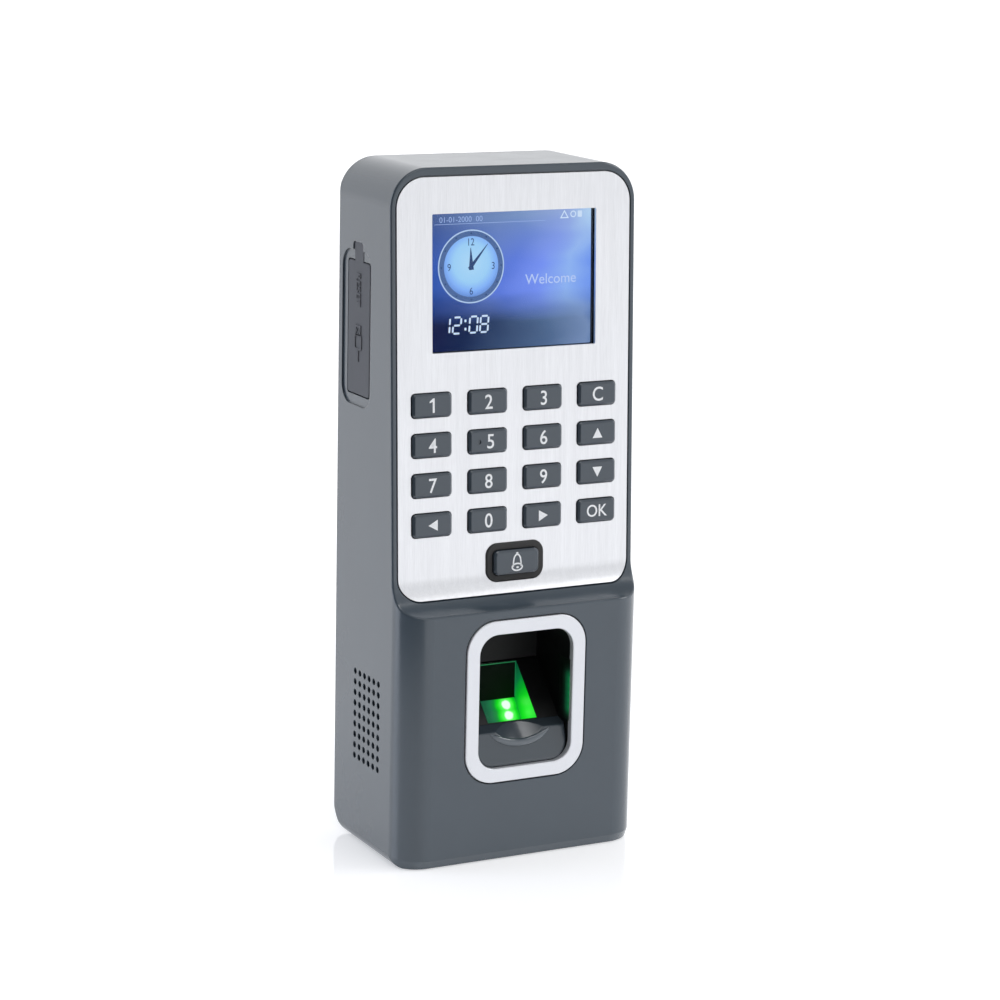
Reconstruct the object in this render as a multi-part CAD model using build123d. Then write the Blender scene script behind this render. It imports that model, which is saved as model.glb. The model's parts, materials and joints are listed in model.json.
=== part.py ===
"""Fingerprint scanner terminal: one build123d model, written as one STEP file per piece.

The row frame has +Z up and the front facing -Y. The origin is at the middle of the overall box,
at the base. All sizes are in millimetres.
"""
from build123d import *
import math
import os

# ---- Overall body ----------------------------------------------------------------------------
body_width = 73.0
body_height = 188.0
block_depth = 45.1
block_height = 70.2
block_step = 8.0
panel_tilt = 2.42
wall = 2.4
rear_seam = 1.2
top_corner_radius = 10.5
base_corner_radius = 2.5
plan_radius = 8.5
rear_edge_radius = 0.8
foot_radius = 9.5
slope_radius = 9.2
bevel_height = 2.4
bevel_depth = 1.2
rim_radius = 0.6
small_corner = 0.3
medium_corner = 1.0
large_corner = 3.0
merge = 0.2
touch = 0.01

# ---- Fits ------------------------------------------------------------------------------------
key_clearance = 0.25
seat_clearance = 0.05
rest_gap = 0.1
loose_clearance = 0.2
groove_width = 0.4

# ---- Faceplate -------------------------------------------------------------------------------
plate_thickness = 0.8
plate_side_margin = 1.75
plate_top_margin = 2.5
plate_bottom_rise = 3.1
plate_top_radius = 8.0
plate_bottom_radius = 6.0

# ---- Display ---------------------------------------------------------------------------------
display_width = 48.96
display_height = 36.72
display_top_drop = 9.7
window_thickness = 1.0
window_lip = 1.9
window_radius = 1.0
collar_wall = 0.8
lcd_margin = 3.0
lcd_thickness = 1.5
lcd_gap = 0.4
backlight_thickness = 2.0
frame_wall = 0.5
frame_overhang = 0.1

# ---- Keypad ----------------------------------------------------------------------------------
key_width = 11.46
key_height = 6.27
key_radius = 1.0
key_proud = 1.0
key_chamfer = 0.55
key_travel = 0.8
column_pitch = 16.6
row_pitch = 10.73
keypad_drop = 10.5
flange_width = 0.9
flange_thickness = 0.8
flange_gap = 0.1
puck_gap = 0.2
puck_height = 0.5
mat_thickness = 1.0
pcb_thickness = 1.6
dimple_radius = 0.6
dimple_depth = 0.3
puck_share = 0.6
key_names = (
    ("1", "2", "3", "clear"),
    ("4", "5", "6", "up"),
    ("7", "8", "9", "down"),
    ("left", "0", "right", "ok"),
)
bell_key_width = 13.5
bell_key_height = 6.65
bell_key_proud = 1.7
bell_key_radius = 1.4
bell_drop = 15.1
bezel_band = 1.7
bezel_proud = 0.5
bezel_radius = 3.3
bezel_edge = 0.3
keypad_boss_radius = 1.5
keypad_screw_radius = 0.8
keypad_head_radius = 1.6
small_head_height = 1.1
screw_tip_gap = 0.2

# ---- Sensor window ---------------------------------------------------------------------------
ring_width = 36.0
ring_height = 45.2
ring_band = 3.85
ring_radius = 8.5
ring_centre_height = 44.85
ring_proud = 0.3
ring_seat = 1.6
ring_edge = 0.35
window_corner_ease = 0.8
well_wall = 1.5
well_depth = 21.0
well_back_height = 58.0
flange_margin = 4.6
flange_trim = 0.6
flange_plate = 1.6
flange_screw_inset = 4.0
apron_start = 0.6
apron_depth = 3.1
apron_rise = 9.2
ledge_depth = 7.2
ledge_rise = 10.4
trough_radius = 16.0
trough_drop = 3.3
lip_radius = 0.8
platen_run = 13.4
prism_width = 15.0
prism_lip = 0.3
prism_back_drop = 10.9
prism_toe_run = 4.2
prism_toe_drop = 5.5
prism_chin_run = 3.0
prism_gap = 0.02
module_depth = 26.0
module_toe = 3.0
led_offset = 4.0
led_width = 1.7
led_length = 1.5
led_height = 0.8
led_shares = (0.3, 0.75)
camera_radius = 3.6
camera_rise = 1.5
lens_radius = 2.4
lens_gap = 0.2
barrel_gap = 0.6
sensor_board_width = 30.0
sensor_board_height = 28.0
sensor_screw_radius = 0.9
sensor_head_radius = 1.7
sensor_screw_bite = 1.4

# ---- Side port, flap and vents ---------------------------------------------------------------
flap_width = 13.8
flap_height = 36.0
flap_rear_gap = 5.9
flap_base_height = 125.3
flap_thickness = 2.0
flap_sink = 0.35
flap_gap = 0.3
flap_radius = 1.0
nail_slot_height = 1.6
nail_slot_width = 0.4
nail_slot_drop = 0.8
hinge_gap = 0.25
tab_width = 5.4
tab_neck = 2.4
tab_head_width = 6.2
tab_head_height = 2.8
scoop_margin = 3.0
scoop_front_margin = 1.7
scoop_depth = 0.45
scoop_radius = 5.0
port_floor = 1.8
usb_width = 13.2
usb_thickness = 5.7
usb_length = 14.0
usb_shell = 0.4
usb_back = 1.5
usb_tongue_gap = 0.5
usb_tongue_inset = 1.2
usb_tongue_thickness = 1.7
usb_height = 140.0
usb_inset = 0.4
reset_height = 154.0
reset_button_radius = 1.5
reset_travel = 0.4
switch_size = 6.0
switch_length = 4.4
switch_gap = 0.5
switch_bite = 0.6
vent_pitch = 3.0
vent_radius = 0.9
vent_columns = 6
vent_rows = 9
vent_rear_gap = 13.95
vent_top_height = 48.6
speaker_width = 19.0
speaker_height = 29.0
speaker_thickness = 5.6
speaker_dish = 1.0
gasket_thickness = 1.0
gasket_band = 2.0

# ---- Rear cover, wall plate and boards -------------------------------------------------------
plug_depth = 3.6
plug_base_gap = 0.2
wall_plate_thickness = 1.5
wall_plate_seat = 1.6
wall_plate_width = 54.0
wall_plate_base = 13.0
wall_plate_top = 170.0
wall_plate_radius = 4.0
cable_width = 40.0
cable_height = 32.0
cable_centre_height = 62.0
cable_radius = 4.0
cable_plate_margin = 1.5
wall_hole_radius = 2.3
wall_hole_spacing_x = 40.0
wall_hole_spacing_z = 120.0
wall_hole_base = 35.0
head_pocket_radius = 4.8
head_pocket_depth = 2.2
head_pocket_wall = 1.4
hook_width = 8.0
hook_reach = 4.0
hook_offset = 15.0
hook_drop = 3.0
tab_reach = 16.0
tab_plate_width = 14.0
security_screw_gap = 13.0
security_screw_radius = 1.5
security_head_radius = 2.75
security_head_height = 1.8
security_head_base = 0.3
security_socket_radius = 1.2
security_socket_depth = 1.1
security_boss_radius = 4.5
security_boss_top = 6.0
boss_radius = 2.75
boss_x_margin = 5.4
lower_boss_x_margin = 7.0
lower_boss_height = 14.0
upper_boss_drop = 16.0
housing_screw_radius = 1.3
housing_screw_length = 12.0
housing_head_radius = 2.4
housing_head_height = 1.5
drive_length = 3.2
drive_width = 0.6
drive_depth = 0.8
board_gap = 9.0
board_side_gap = 4.1
board_base = 27.0
board_top_drop = 20.0
standoff_radius = 2.6
board_screw_radius = 1.0
board_screw_length = 6.0
board_head_radius = 2.1
board_head_height = 1.3
board_screw_x = 26.0
board_screw_z_margin = 5.0
connector_height = 2.5
ribbon_thickness = 0.2
ribbon_bend = 1.2
ribbon_bend_share = 0.4
display_ribbon_width = 12.0
keypad_ribbon_width = 10.0
keypad_ribbon_drop = 6.0
connector_width = 18.0
connector_length = 5.0
sensor_plug_rise = 1.5
sensor_plug_width = 16.0
sensor_plug_length = 4.0
sensor_plug_drop = 7.0
sensor_connector_rise = 14.3
header_places = (-13.5, -4.5, 4.5, 13.5)
header_width = 7.6
header_length = 6.0
header_rise = 4.0
header_wall = 0.7
header_pins = (-2.0, 0.0, 2.0)
header_pin_radius = 0.3
header_pin_length = 3.4
chip_places = (
    (-8.0, 118.0, 14.0, 14.0, 1.4),
    (9.0, 118.0, 11.0, 11.0, 1.2),
    (12.0, 80.0, 9.0, 9.0, 1.2),
    (-14.0, 66.0, 7.0, 7.0, 1.2),
    (17.0, 66.0, 9.0, 12.0, 5.5),
)
capacitor_places = ((-21.0, 86.0, 4.0, 9.0), (-13.0, 86.0, 3.1, 7.0), (24.0, 84.0, 4.0, 9.0))
relay_place = (22.0, 130.0, 10.0, 20.0, 10.0)
buzzer_place = (-20.0, 106.0, 6.0, 7.0)
cell_place = (12.0, 158.0, 8.0, 3.2)
cell_holder_wall = 1.0
cell_holder_floor = 0.8

# ---- Derived places --------------------------------------------------------------------------
total_depth = block_depth + ring_proud
rear_y = total_depth / 2
front_y = rear_y - block_depth
half_width = body_width / 2
inner_half_width = half_width - wall
panel_y = front_y + block_step
tilt = math.radians(panel_tilt)
panel = Plane(
    origin=(0, panel_y, block_height),
    x_dir=(1, 0, 0),
    z_dir=(0, -math.cos(tilt), math.sin(tilt)),
)
face = Plane(origin=(0, front_y, 0), x_dir=(1, 0, 0), z_dir=(0, -1, 0))
side = Plane(origin=(-half_width, 0, 0), x_dir=(0, -1, 0), z_dir=(-1, 0, 0))
panel_top = (body_height - block_height) / math.cos(tilt)

display_v = panel_top - plate_top_margin - display_top_drop - display_height / 2
keypad_v = display_v - display_height / 2 - keypad_drop - key_height / 2
bell_v = keypad_v - 3 * row_pitch - bell_drop + key_height / 2
bezel_width = bell_key_width + 2 * (key_clearance + bezel_band)
bezel_height = bell_key_height + 2 * (key_clearance + bezel_band)
flange_top = -(wall + flange_gap)
flange_base = flange_top - flange_thickness
puck_top = flange_base - key_travel - puck_gap
mat_top = puck_top - puck_height
mat_base = mat_top - mat_thickness
keypad_board_base = mat_base - pcb_thickness
lcd_top = -wall - lcd_gap
lcd_base = lcd_top - lcd_thickness
backlight_base = lcd_base - backlight_thickness
frame_base = backlight_base - frame_overhang

window_width = ring_width - 2 * ring_band
window_height = ring_height - 2 * ring_band
window_base = ring_centre_height - window_height / 2
window_top = ring_centre_height + window_height / 2
window_corner = ring_radius - ring_band + window_corner_ease
apron_top = window_base + apron_rise
platen_base = window_base + ledge_rise
platen_top = platen_base + platen_run
platen_back = ledge_depth + platen_run
sensor_board_rear = module_depth + pcb_thickness
sensor_centre = (platen_top + window_base + module_toe) / 2
camera_place = (0, (platen_top + platen_base) / 2 + camera_rise)

board_rear = rear_y - board_gap
board_front = board_rear - pcb_thickness
plug_y = rear_y - plug_depth
pocket_y = rear_y - wall_plate_seat
board_top = body_height - board_top_drop
cover_base = foot_radius + plug_base_gap
security_y = rear_y - security_screw_gap
housing_head_base = rear_y - housing_head_height - rest_gap
flap_y = rear_y - flap_rear_gap - flap_width / 2
flap_z = flap_base_height + flap_height / 2
flap_top = flap_base_height + flap_height
recess_floor = flap_thickness + 0.1
usb_y = board_front - usb_thickness / 2
boss_places = (
    (half_width - boss_x_margin, body_height - upper_boss_drop),
    (-(half_width - boss_x_margin), body_height - upper_boss_drop),
    (half_width - lower_boss_x_margin, lower_boss_height),
    (-(half_width - lower_boss_x_margin), lower_boss_height),
)
board_screw_places = (
    (board_screw_x, board_base + board_screw_z_margin),
    (-board_screw_x, board_base + board_screw_z_margin),
    (board_screw_x, board_top - board_screw_z_margin),
    (-board_screw_x, board_top - board_screw_z_margin),
)
keypad_boss_places = tuple(
    (column * column_pitch, keypad_v - row * row_pitch)
    for column in (-1, 1)
    for row in (0.5, 2.5)
)
flange_screw_places = tuple(
    (
        sign_x * (ring_width + flange_margin) / 2,
        ring_centre_height + sign_z * (ring_height / 2 - flange_screw_inset),
    )
    for sign_x in (-1, 1)
    for sign_z in (-1, 1)
)
wall_hole_places = tuple(
    (sign_x * wall_hole_spacing_x / 2, wall_hole_base + level * wall_hole_spacing_z)
    for sign_x in (-1, 1)
    for level in (0, 1)
)


# ---- Small builders --------------------------------------------------------------------------
def slab(x_span, y_span, z_span):
    """A box between two corners."""
    spans = (x_span, y_span, z_span)
    sizes = [high - low for low, high in spans]
    centres = [(high + low) / 2 for low, high in spans]
    return Pos(*centres) * Box(*sizes)


def prism(plane, place, size, radius, low, high):
    """A rounded rectangle on a plane, between two heights along the plane's normal."""
    outline = Pos(place[0], place[1], low) * RectangleRounded(size[0], size[1], radius)
    return plane * extrude(outline, high - low)


def peg(plane, place, radius, low, high):
    """A round bar standing on a plane, between two heights along the plane's normal."""
    return plane * (Pos(place[0], place[1], low) * extrude(Circle(radius), high - low))


def bar_y(place, radius, low, high):
    """A round bar along Y at an (x, z) place."""
    outline = Pos(place[0], -low, place[1]) * Rot(90, 0, 0) * Circle(radius)
    return Pos(0, 2 * low, 0) * extrude(outline, low - high)


def bar_x(place, radius, low, high):
    """A round bar along X at a (y, z) place."""
    outline = Pos(low, place[0], place[1]) * Rot(0, 90, 0) * Circle(radius)
    return extrude(outline, high - low)


def post(radius, low, high):
    """A round bar along Z at the security screw's place."""
    return Pos(0, security_y, low) * extrude(Circle(radius), high - low)


def ribbon(start, end, width):
    """A flat flexible cable between two (y, z) points, stepped halfway with rounded bends."""
    middle = (start[0] + end[0]) / 2
    bend = min(ribbon_bend, ribbon_bend_share * (end[0] - start[0]))
    corners = [(0, *start), (0, middle, start[1]), (0, middle, end[1]), (0, *end)]
    path = FilletPolyline(*corners, radius=bend)
    start = Plane(origin=path @ 0, x_dir=(1, 0, 0), z_dir=path % 0)
    return sweep(start * Rectangle(width, ribbon_thickness), path)


def full_slab(y_span, base):
    """A slice across the whole body between two Y places, from a base height up."""
    return slab((-body_width, body_width), y_span, (base, 2 * body_height))


def profile_band(depth):
    """The skin of the body's side profile, from the outside to a depth, as a wide extrusion."""
    outer = extrude(side_profile(0), half_width, both=True)
    return outer - extrude(side_profile(depth), body_width, both=True)


# ---- Body envelope ---------------------------------------------------------------------------
def panel_point(height):
    """The (y, z) point of the keypad panel's plane at a height."""
    return (panel_y + (height - block_height) * math.tan(tilt), height)


def slope_arc():
    """The concave sweep from the lower block's front up to the panel: start, middle and end."""
    normal = (-math.cos(tilt), math.sin(tilt))
    along = (math.sin(tilt), math.cos(tilt))
    reach = block_step * math.cos(tilt)
    drop = -block_step * math.sin(tilt)
    run = drop + math.sqrt(reach * (2 * slope_radius - reach))
    tangent = (panel_y + run * along[0], block_height + run * along[1])
    centre = (tangent[0] + slope_radius * normal[0], tangent[1] + slope_radius * normal[1])
    start = (front_y, block_height)
    chord = ((start[0] + tangent[0]) / 2 - centre[0], (start[1] + tangent[1]) / 2 - centre[1])
    scale = slope_radius / math.hypot(*chord)
    middle = (centre[0] + chord[0] * scale, centre[1] + chord[1] * scale)
    return start, middle, tangent


def side_profile(inset):
    """The body's outline seen from the side, moved inwards by an inset."""
    start, middle, tangent = slope_arc()
    foot_centre = (rear_y - foot_radius, foot_radius)
    foot_middle = (
        foot_centre[0] + foot_radius * math.cos(math.pi / 4),
        foot_centre[1] - foot_radius * math.sin(math.pi / 4),
    )
    top_front = panel_point(body_height)
    edges = [
        Line((rear_y, body_height), (rear_y, foot_radius)),
        ThreePointArc((rear_y, foot_radius), foot_middle, (foot_centre[0], 0)),
        Line((foot_centre[0], 0), (front_y, 0)),
        Line((front_y, 0), start),
        ThreePointArc(start, middle, tangent),
        Line(tangent, top_front),
        Line(top_front, (rear_y, body_height)),
    ]
    outline = make_face(edges)
    if inset > 0:
        outline = offset(outline, -inset, kind=Kind.INTERSECTION)
    return Plane.YZ * outline


def front_outline(inset, base=0.0):
    """The body's outline seen from the front, moved inwards by an inset."""
    width = body_width - 2 * inset
    low = max(base, inset)
    high = body_height - inset
    upper = RectangleRounded(width, high - low, top_corner_radius - inset)
    corner = max(base_corner_radius - inset, small_corner)
    lower = RectangleRounded(width, (high - low) / 2, corner)
    outline = upper + Pos(0, -(high - low) / 4) * lower
    return Plane.XZ * (Pos(0, (high + low) / 2) * outline)


def plan_outline(inset, front_cut=0.0):
    """The body's outline seen from above, with large front corners, moved inwards by an inset."""
    width = body_width - 2 * inset
    low = front_y + inset + front_cut
    high = rear_y - inset
    outline = make_face(Polyline(
        (-width / 2, low), (width / 2, low), (width / 2, high), (-width / 2, high), close=True))
    front = outline.vertices().sort_by(Axis.Y)[:2]
    outline = fillet(front, plan_radius - inset)
    rear = outline.vertices().sort_by(Axis.Y)[-2:]
    return fillet(rear, max(rear_edge_radius - inset, small_corner))


def envelope(inset):
    """The whole body as one solid, moved inwards by an inset."""
    solid = extrude(side_profile(inset), half_width, both=True)
    solid &= extrude(front_outline(inset), total_depth, both=True)
    return solid & extrude(plan_outline(inset), body_height)


def base_bevel(solid):
    """The lower front edge, drawn in towards the base and fading along the sides."""
    low = plan_outline(0, bevel_depth)
    high = Pos(0, 0, bevel_height) * plan_outline(0)
    foot = loft([low, high], ruled=True)
    above = slab((-body_width, body_width), (-total_depth, total_depth), (bevel_height, body_height))
    return solid & (foot + above)


def rim_edges(solid):
    """The outer edges of the keypad panel and of the sweep that joins the lower block."""
    flat = [item for item in solid.faces() if (item.normal_at() - panel.z_dir).length < 1e-3]
    border = max(flat, key=lambda item: item.area)
    sweep_top = slope_arc()[2][1]
    edges = [edge for edge in border.edges() if edge.center().Z > sweep_top + 1]
    for edge in solid.edges():
        bounds = edge.bounding_box()
        inside = bounds.min.Z > block_height - touch and bounds.max.Z < sweep_top + touch
        if inside and bounds.max.Z - bounds.min.Z > block_step / 2:
            edges.append(edge)
    return edges


# ---- Housing and covers ----------------------------------------------------------------------
def keypad_positions():
    """Each key's name with its place on the panel."""
    for row, names in enumerate(key_names):
        for column, name in enumerate(names):
            yield name, ((column - 1.5) * column_pitch, keypad_v - row * row_pitch)


def panel_openings(low, high):
    """The openings for the keys, shared by the faceplate and the housing wall."""
    cutters = []
    hole = (key_width + 2 * key_clearance, key_height + 2 * key_clearance)
    for _, place in keypad_positions():
        cutters.append(prism(panel, place, hole, key_radius + key_clearance, low, high))
    return cutters


def plate_outline(margin):
    """The faceplate's outline as a deep prism, grown by a margin."""
    base = block_height + plate_bottom_rise
    top = body_height - plate_top_margin
    size = (body_width - 2 * plate_side_margin + 2 * margin, top - base + 2 * margin)
    upper = RectangleRounded(size[0], size[1], plate_top_radius + margin)
    lower = RectangleRounded(size[0], size[1] / 2, plate_bottom_radius + margin)
    outline = upper + Pos(0, -size[1] / 4) * lower
    placed = Plane.XZ * (Pos(0, (top + base) / 2) * outline)
    return Pos(0, panel_y + body_height * math.tan(tilt), 0) * extrude(placed, total_depth)


def faceplate():
    """The brushed plate, which follows the panel and curls forward at its lower edge."""
    solid = profile_band(plate_thickness) & plate_outline(0)
    reach = 2 * block_step
    solid -= panel_openings(-reach, reach)
    opening = (display_width, display_height)
    solid -= prism(panel, (0, display_v), opening, small_corner, -reach, reach)
    bezel = (bezel_width + 2 * seat_clearance, bezel_height + 2 * seat_clearance)
    return solid - prism(panel, (0, bell_v), bezel, bezel_radius, -reach, reach)


def panel_cuts(solid):
    """The faceplate's seat and every opening through the panel wall."""
    solid -= profile_band(plate_thickness) & plate_outline(groove_width)
    solid -= panel_openings(-2 * wall, block_step)
    bezel = (bezel_width + 2 * seat_clearance, bezel_height + 2 * seat_clearance)
    solid -= prism(panel, (0, bell_v), bezel, bezel_radius, -plate_thickness, block_step)
    bell_hole = (bell_key_width + 2 * key_clearance, bell_key_height + 2 * key_clearance)
    solid -= prism(panel, (0, bell_v), bell_hole, bell_key_radius + key_clearance, -2 * wall, 0)
    seat_base = -(plate_thickness + window_thickness)
    lip = window_lip + seat_clearance
    seat = (display_width + 2 * lip, display_height + 2 * lip)
    solid -= prism(panel, (0, display_v), seat, window_radius, seat_base, 0)
    collar = collar_wall + loose_clearance
    opening = (display_width + 2 * collar, display_height + 2 * collar)
    return solid - prism(panel, (0, display_v), opening, small_corner, -2 * wall, 0)


def block_cuts(solid):
    """The ring's seat, the finger opening and the blind screw holes of the lower block."""
    centre = (0, ring_centre_height)
    seat = (ring_width + 2 * groove_width, ring_height + 2 * groove_width)
    solid -= prism(face, centre, seat, ring_radius + groove_width, -ring_seat, 1)
    around = well_wall + loose_clearance
    opening = (window_width + 2 * around, window_height + 2 * around)
    solid -= prism(face, centre, opening, window_corner + well_wall, -2 * wall, 0)
    hole_end = -wall + sensor_screw_bite + screw_tip_gap
    for place in flange_screw_places:
        solid -= peg(face, place, sensor_screw_radius, -wall - 1, hole_end)
    return solid


def side_cuts(solid):
    """The flap's recess, the port window, the reset hole and the speaker vents."""
    floor_inside = recess_floor + port_floor
    pad_y = (flap_y - flap_width / 2 - scoop_front_margin, plug_y - loose_clearance)
    pad_x = (-half_width + recess_floor, -half_width + floor_inside)
    pad_top = flap_top + tab_neck + tab_head_height + medium_corner
    solid += slab(pad_x, pad_y, (flap_base_height - scoop_margin, pad_top))
    scoop_rear = flap_y + flap_width / 2 + scoop_margin
    scoop_front = flap_y - flap_width / 2 - scoop_front_margin
    scoop_place = (-(scoop_rear + scoop_front) / 2, flap_z)
    scoop_size = (scoop_rear - scoop_front, flap_height + 2 * scoop_margin)
    solid -= prism(side, scoop_place, scoop_size, scoop_radius, -scoop_depth, 1)
    flap_size = (flap_width + 2 * flap_gap, flap_height + 2 * flap_gap)
    solid -= prism(side, (-flap_y, flap_z), flap_size, flap_radius, -recess_floor, 1)
    for part in anchor_blocks(seat_clearance, 1):
        solid -= part
    window = (usb_thickness + 2 * loose_clearance, usb_width + 2 * loose_clearance)
    solid -= prism(side, (-usb_y, usb_height), window, small_corner, -2 * floor_inside, 0)
    reset_hole = reset_button_radius + key_clearance
    solid -= peg(side, (-usb_y, reset_height), reset_hole, -2 * floor_inside, 0)
    for column in range(vent_columns):
        for row in range(vent_rows):
            across = vent_rear_gap + column * vent_pitch - rear_y
            place = (across, vent_top_height - row * vent_pitch)
            solid -= peg(side, place, vent_radius, -2 * wall, 1)
    return solid


def front_housing():
    """The deep front shell with its bosses and openings."""
    outer = base_bevel(envelope(0))
    outer = fillet(rim_edges(outer), rim_radius)
    shell = outer - envelope(wall)
    behind = (rear_y - wall - rest_gap, rear_y + 1)
    shell -= full_slab(behind, 0) & extrude(front_outline(wall, foot_radius), total_depth, both=True)
    shell -= full_slab((rear_y - rear_seam, rear_y + 1), -1)
    core = envelope(wall / 2)
    for place in boss_places:
        shell += bar_y(place, boss_radius, front_y, plug_y) & core
    shell += slab(
        (-security_boss_radius, security_boss_radius),
        (security_y - security_boss_radius, security_y + security_boss_radius),
        (wall / 2, security_boss_top),
    )
    for place in keypad_boss_places:
        shell += peg(panel, place, keypad_boss_radius, mat_base, -wall / 2 - plate_thickness / 2)
    shell = panel_cuts(shell)
    shell = block_cuts(shell)
    shell = side_cuts(shell)
    for place in boss_places:
        shell -= bar_y(place, housing_screw_radius, plug_y - housing_screw_length, plug_y + 1)
    for place in keypad_boss_places:
        shell -= peg(panel, place, keypad_screw_radius, mat_base - 1, -wall - screw_tip_gap)
    shell -= post(security_screw_radius + loose_clearance, -1, security_boss_top + 1)
    head_top = security_head_base + security_head_height
    return shell - post(security_head_radius + loose_clearance, -1, head_top)


def rear_cover():
    """The rear cover: a rim that shows as a thin line, and a plug that fits into the shell."""
    rim = envelope(0) & full_slab((rear_y - rear_seam, rear_y + 1), 0)
    inset = wall + loose_clearance
    plug = extrude(front_outline(inset, cover_base), total_depth, both=True)
    cover = rim + (plug & full_slab((plug_y, rear_y - rear_seam), 0))
    for place in board_screw_places:
        cover += bar_y(place, standoff_radius, board_rear, plug_y)
    pocket_floor = pocket_y - head_pocket_depth
    cup_radius = head_pocket_radius + head_pocket_wall
    for place in wall_hole_places:
        cover += bar_y(place, cup_radius, pocket_floor - head_pocket_wall, plug_y)
    cover -= wall_plate_outline(loose_clearance, pocket_y, rear_y + 1)
    for place in wall_hole_places:
        cover -= bar_y(place, head_pocket_radius, pocket_floor, rear_y)
    cover -= cable_cutter(0, board_rear, rear_y + 1)
    behind = (board_rear, rear_y)
    for centre in (-hook_offset, hook_offset):
        cover -= slab(hook_width_span(centre, loose_clearance), behind, hook_span(loose_clearance))
    tab_half = tab_plate_width / 2 + loose_clearance
    tab_top = wall_plate_base + wall_plate_thickness + loose_clearance
    cover -= slab((-tab_half, tab_half), behind, (wall_plate_base - loose_clearance, tab_top))
    for place in boss_places:
        cover -= bar_y(place, housing_screw_radius + loose_clearance, plug_y - 1, rear_y + 1)
        cover -= bar_y(place, housing_head_radius + loose_clearance, housing_head_base, rear_y + 1)
    hole_end = board_rear + board_screw_length - pcb_thickness
    for place in board_screw_places:
        cover -= bar_y(place, board_screw_radius, board_rear - 1, hole_end)
    return cover


def hook_span(margin=0.0):
    """The height span of the wall plate's two upper hooks, grown by a margin."""
    top = wall_plate_top - hook_drop
    return (top - wall_plate_thickness - margin, top + margin)


def hook_width_span(centre, margin=0.0):
    """The width span of one hook, grown by a margin."""
    return (centre - hook_width / 2 - margin, centre + hook_width / 2 + margin)


def wall_plate_outline(margin, low, high):
    """The wall plate's outline as a prism along Y, grown by a margin."""
    size = (wall_plate_width + 2 * margin, wall_plate_top - wall_plate_base + 2 * margin)
    outline = RectangleRounded(size[0], size[1], wall_plate_radius + margin)
    placed = Plane.XZ * (Pos(0, (wall_plate_top + wall_plate_base) / 2) * outline)
    return Pos(0, high, 0) * extrude(placed, high - low)


def cable_cutter(margin, low, high):
    """The cable opening as a prism along Y, grown by a margin."""
    size = (cable_width + 2 * margin, cable_height + 2 * margin)
    outline = RectangleRounded(*size, cable_radius + margin)
    placed = Plane.XZ * (Pos(0, cable_centre_height) * outline)
    return Pos(0, high, 0) * extrude(placed, high - low)


def wall_plate():
    """The steel plate that is screwed to the wall, with two hooks and a threaded tab."""
    plate = wall_plate_outline(0, pocket_y, pocket_y + wall_plate_thickness)
    hook_z = hook_span()
    for centre in (-hook_offset, hook_offset):
        hook_x = hook_width_span(centre)
        slot_z = (hook_z[1], wall_plate_top - small_corner)
        plate -= slab(hook_width_span(centre, small_corner), (pocket_y - 1, rear_y + 1), slot_z)
        plate += slab(hook_x, (pocket_y - hook_reach, pocket_y + wall_plate_thickness), hook_z)
    plate += slab(
        (-tab_plate_width / 2, tab_plate_width / 2),
        (rear_y - tab_reach, pocket_y + wall_plate_thickness),
        (wall_plate_base, wall_plate_base + wall_plate_thickness),
    )
    plate -= post(security_screw_radius, -1, wall_plate_base + 3 * wall_plate_thickness)
    plate -= cable_cutter(cable_plate_margin, pocket_y - 1, rear_y + 1)
    for place in wall_hole_places:
        plate -= bar_y(place, wall_hole_radius, pocket_y - 1, rear_y + 1)
    return plate


# ---- Display and keypad ----------------------------------------------------------------------
def display_window():
    """The clear window behind the faceplate."""
    size = (display_width + 2 * window_lip, display_height + 2 * window_lip)
    low = -(plate_thickness + window_thickness)
    return prism(panel, (0, display_v), size, window_radius, low, -plate_thickness)


def lcd_frame():
    """The black frame that holds the display module and lines the opening."""
    glass = (display_width + 2 * lcd_margin, display_height + 2 * lcd_margin)
    around = 2 * (frame_wall + seat_clearance)
    outer = (glass[0] + around, glass[1] + around)
    place = (0, display_v)
    frame = prism(panel, place, outer, medium_corner, frame_base, -wall)
    collar = (display_width + 2 * collar_wall, display_height + 2 * collar_wall)
    collar_top = -(plate_thickness + window_thickness + seat_clearance)
    frame += prism(panel, place, collar, medium_corner, -wall - merge, collar_top)
    frame -= prism(panel, place, (display_width, display_height), small_corner, lcd_base, 0)
    pocket = (glass[0] + 2 * seat_clearance, glass[1] + 2 * seat_clearance)
    return frame - prism(panel, place, pocket, small_corner, frame_base - 1, lcd_top)


def lcd_layer(low, high):
    """One flat layer of the display module."""
    size = (display_width + 2 * lcd_margin, display_height + 2 * lcd_margin)
    return prism(panel, (0, display_v), size, small_corner, low, high)


def key_solid(place, width, height, radius, proud, chamfer_size):
    """A key cap with its retaining flange."""
    cap = prism(panel, place, (width, height), radius, flange_base, proud)
    top = cap.faces().sort_by(lambda item: item.center().dot(panel.z_dir))[-1]
    cap = chamfer(top.edges(), chamfer_size)
    flange = (width + 2 * flange_width, height + 2 * flange_width)
    return cap + prism(panel, place, flange, radius, flange_base, flange_top)


def keypad_key(name, place):
    """One of the sixteen keys; the 5 key has a locating dimple."""
    key = key_solid(place, key_width, key_height, key_radius, key_proud, key_chamfer)
    if name == "5":
        dimple = (place[0] - key_width / 4, place[1])
        key -= peg(panel, dimple, dimple_radius, key_proud - dimple_depth, key_proud + 1)
    return key


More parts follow.
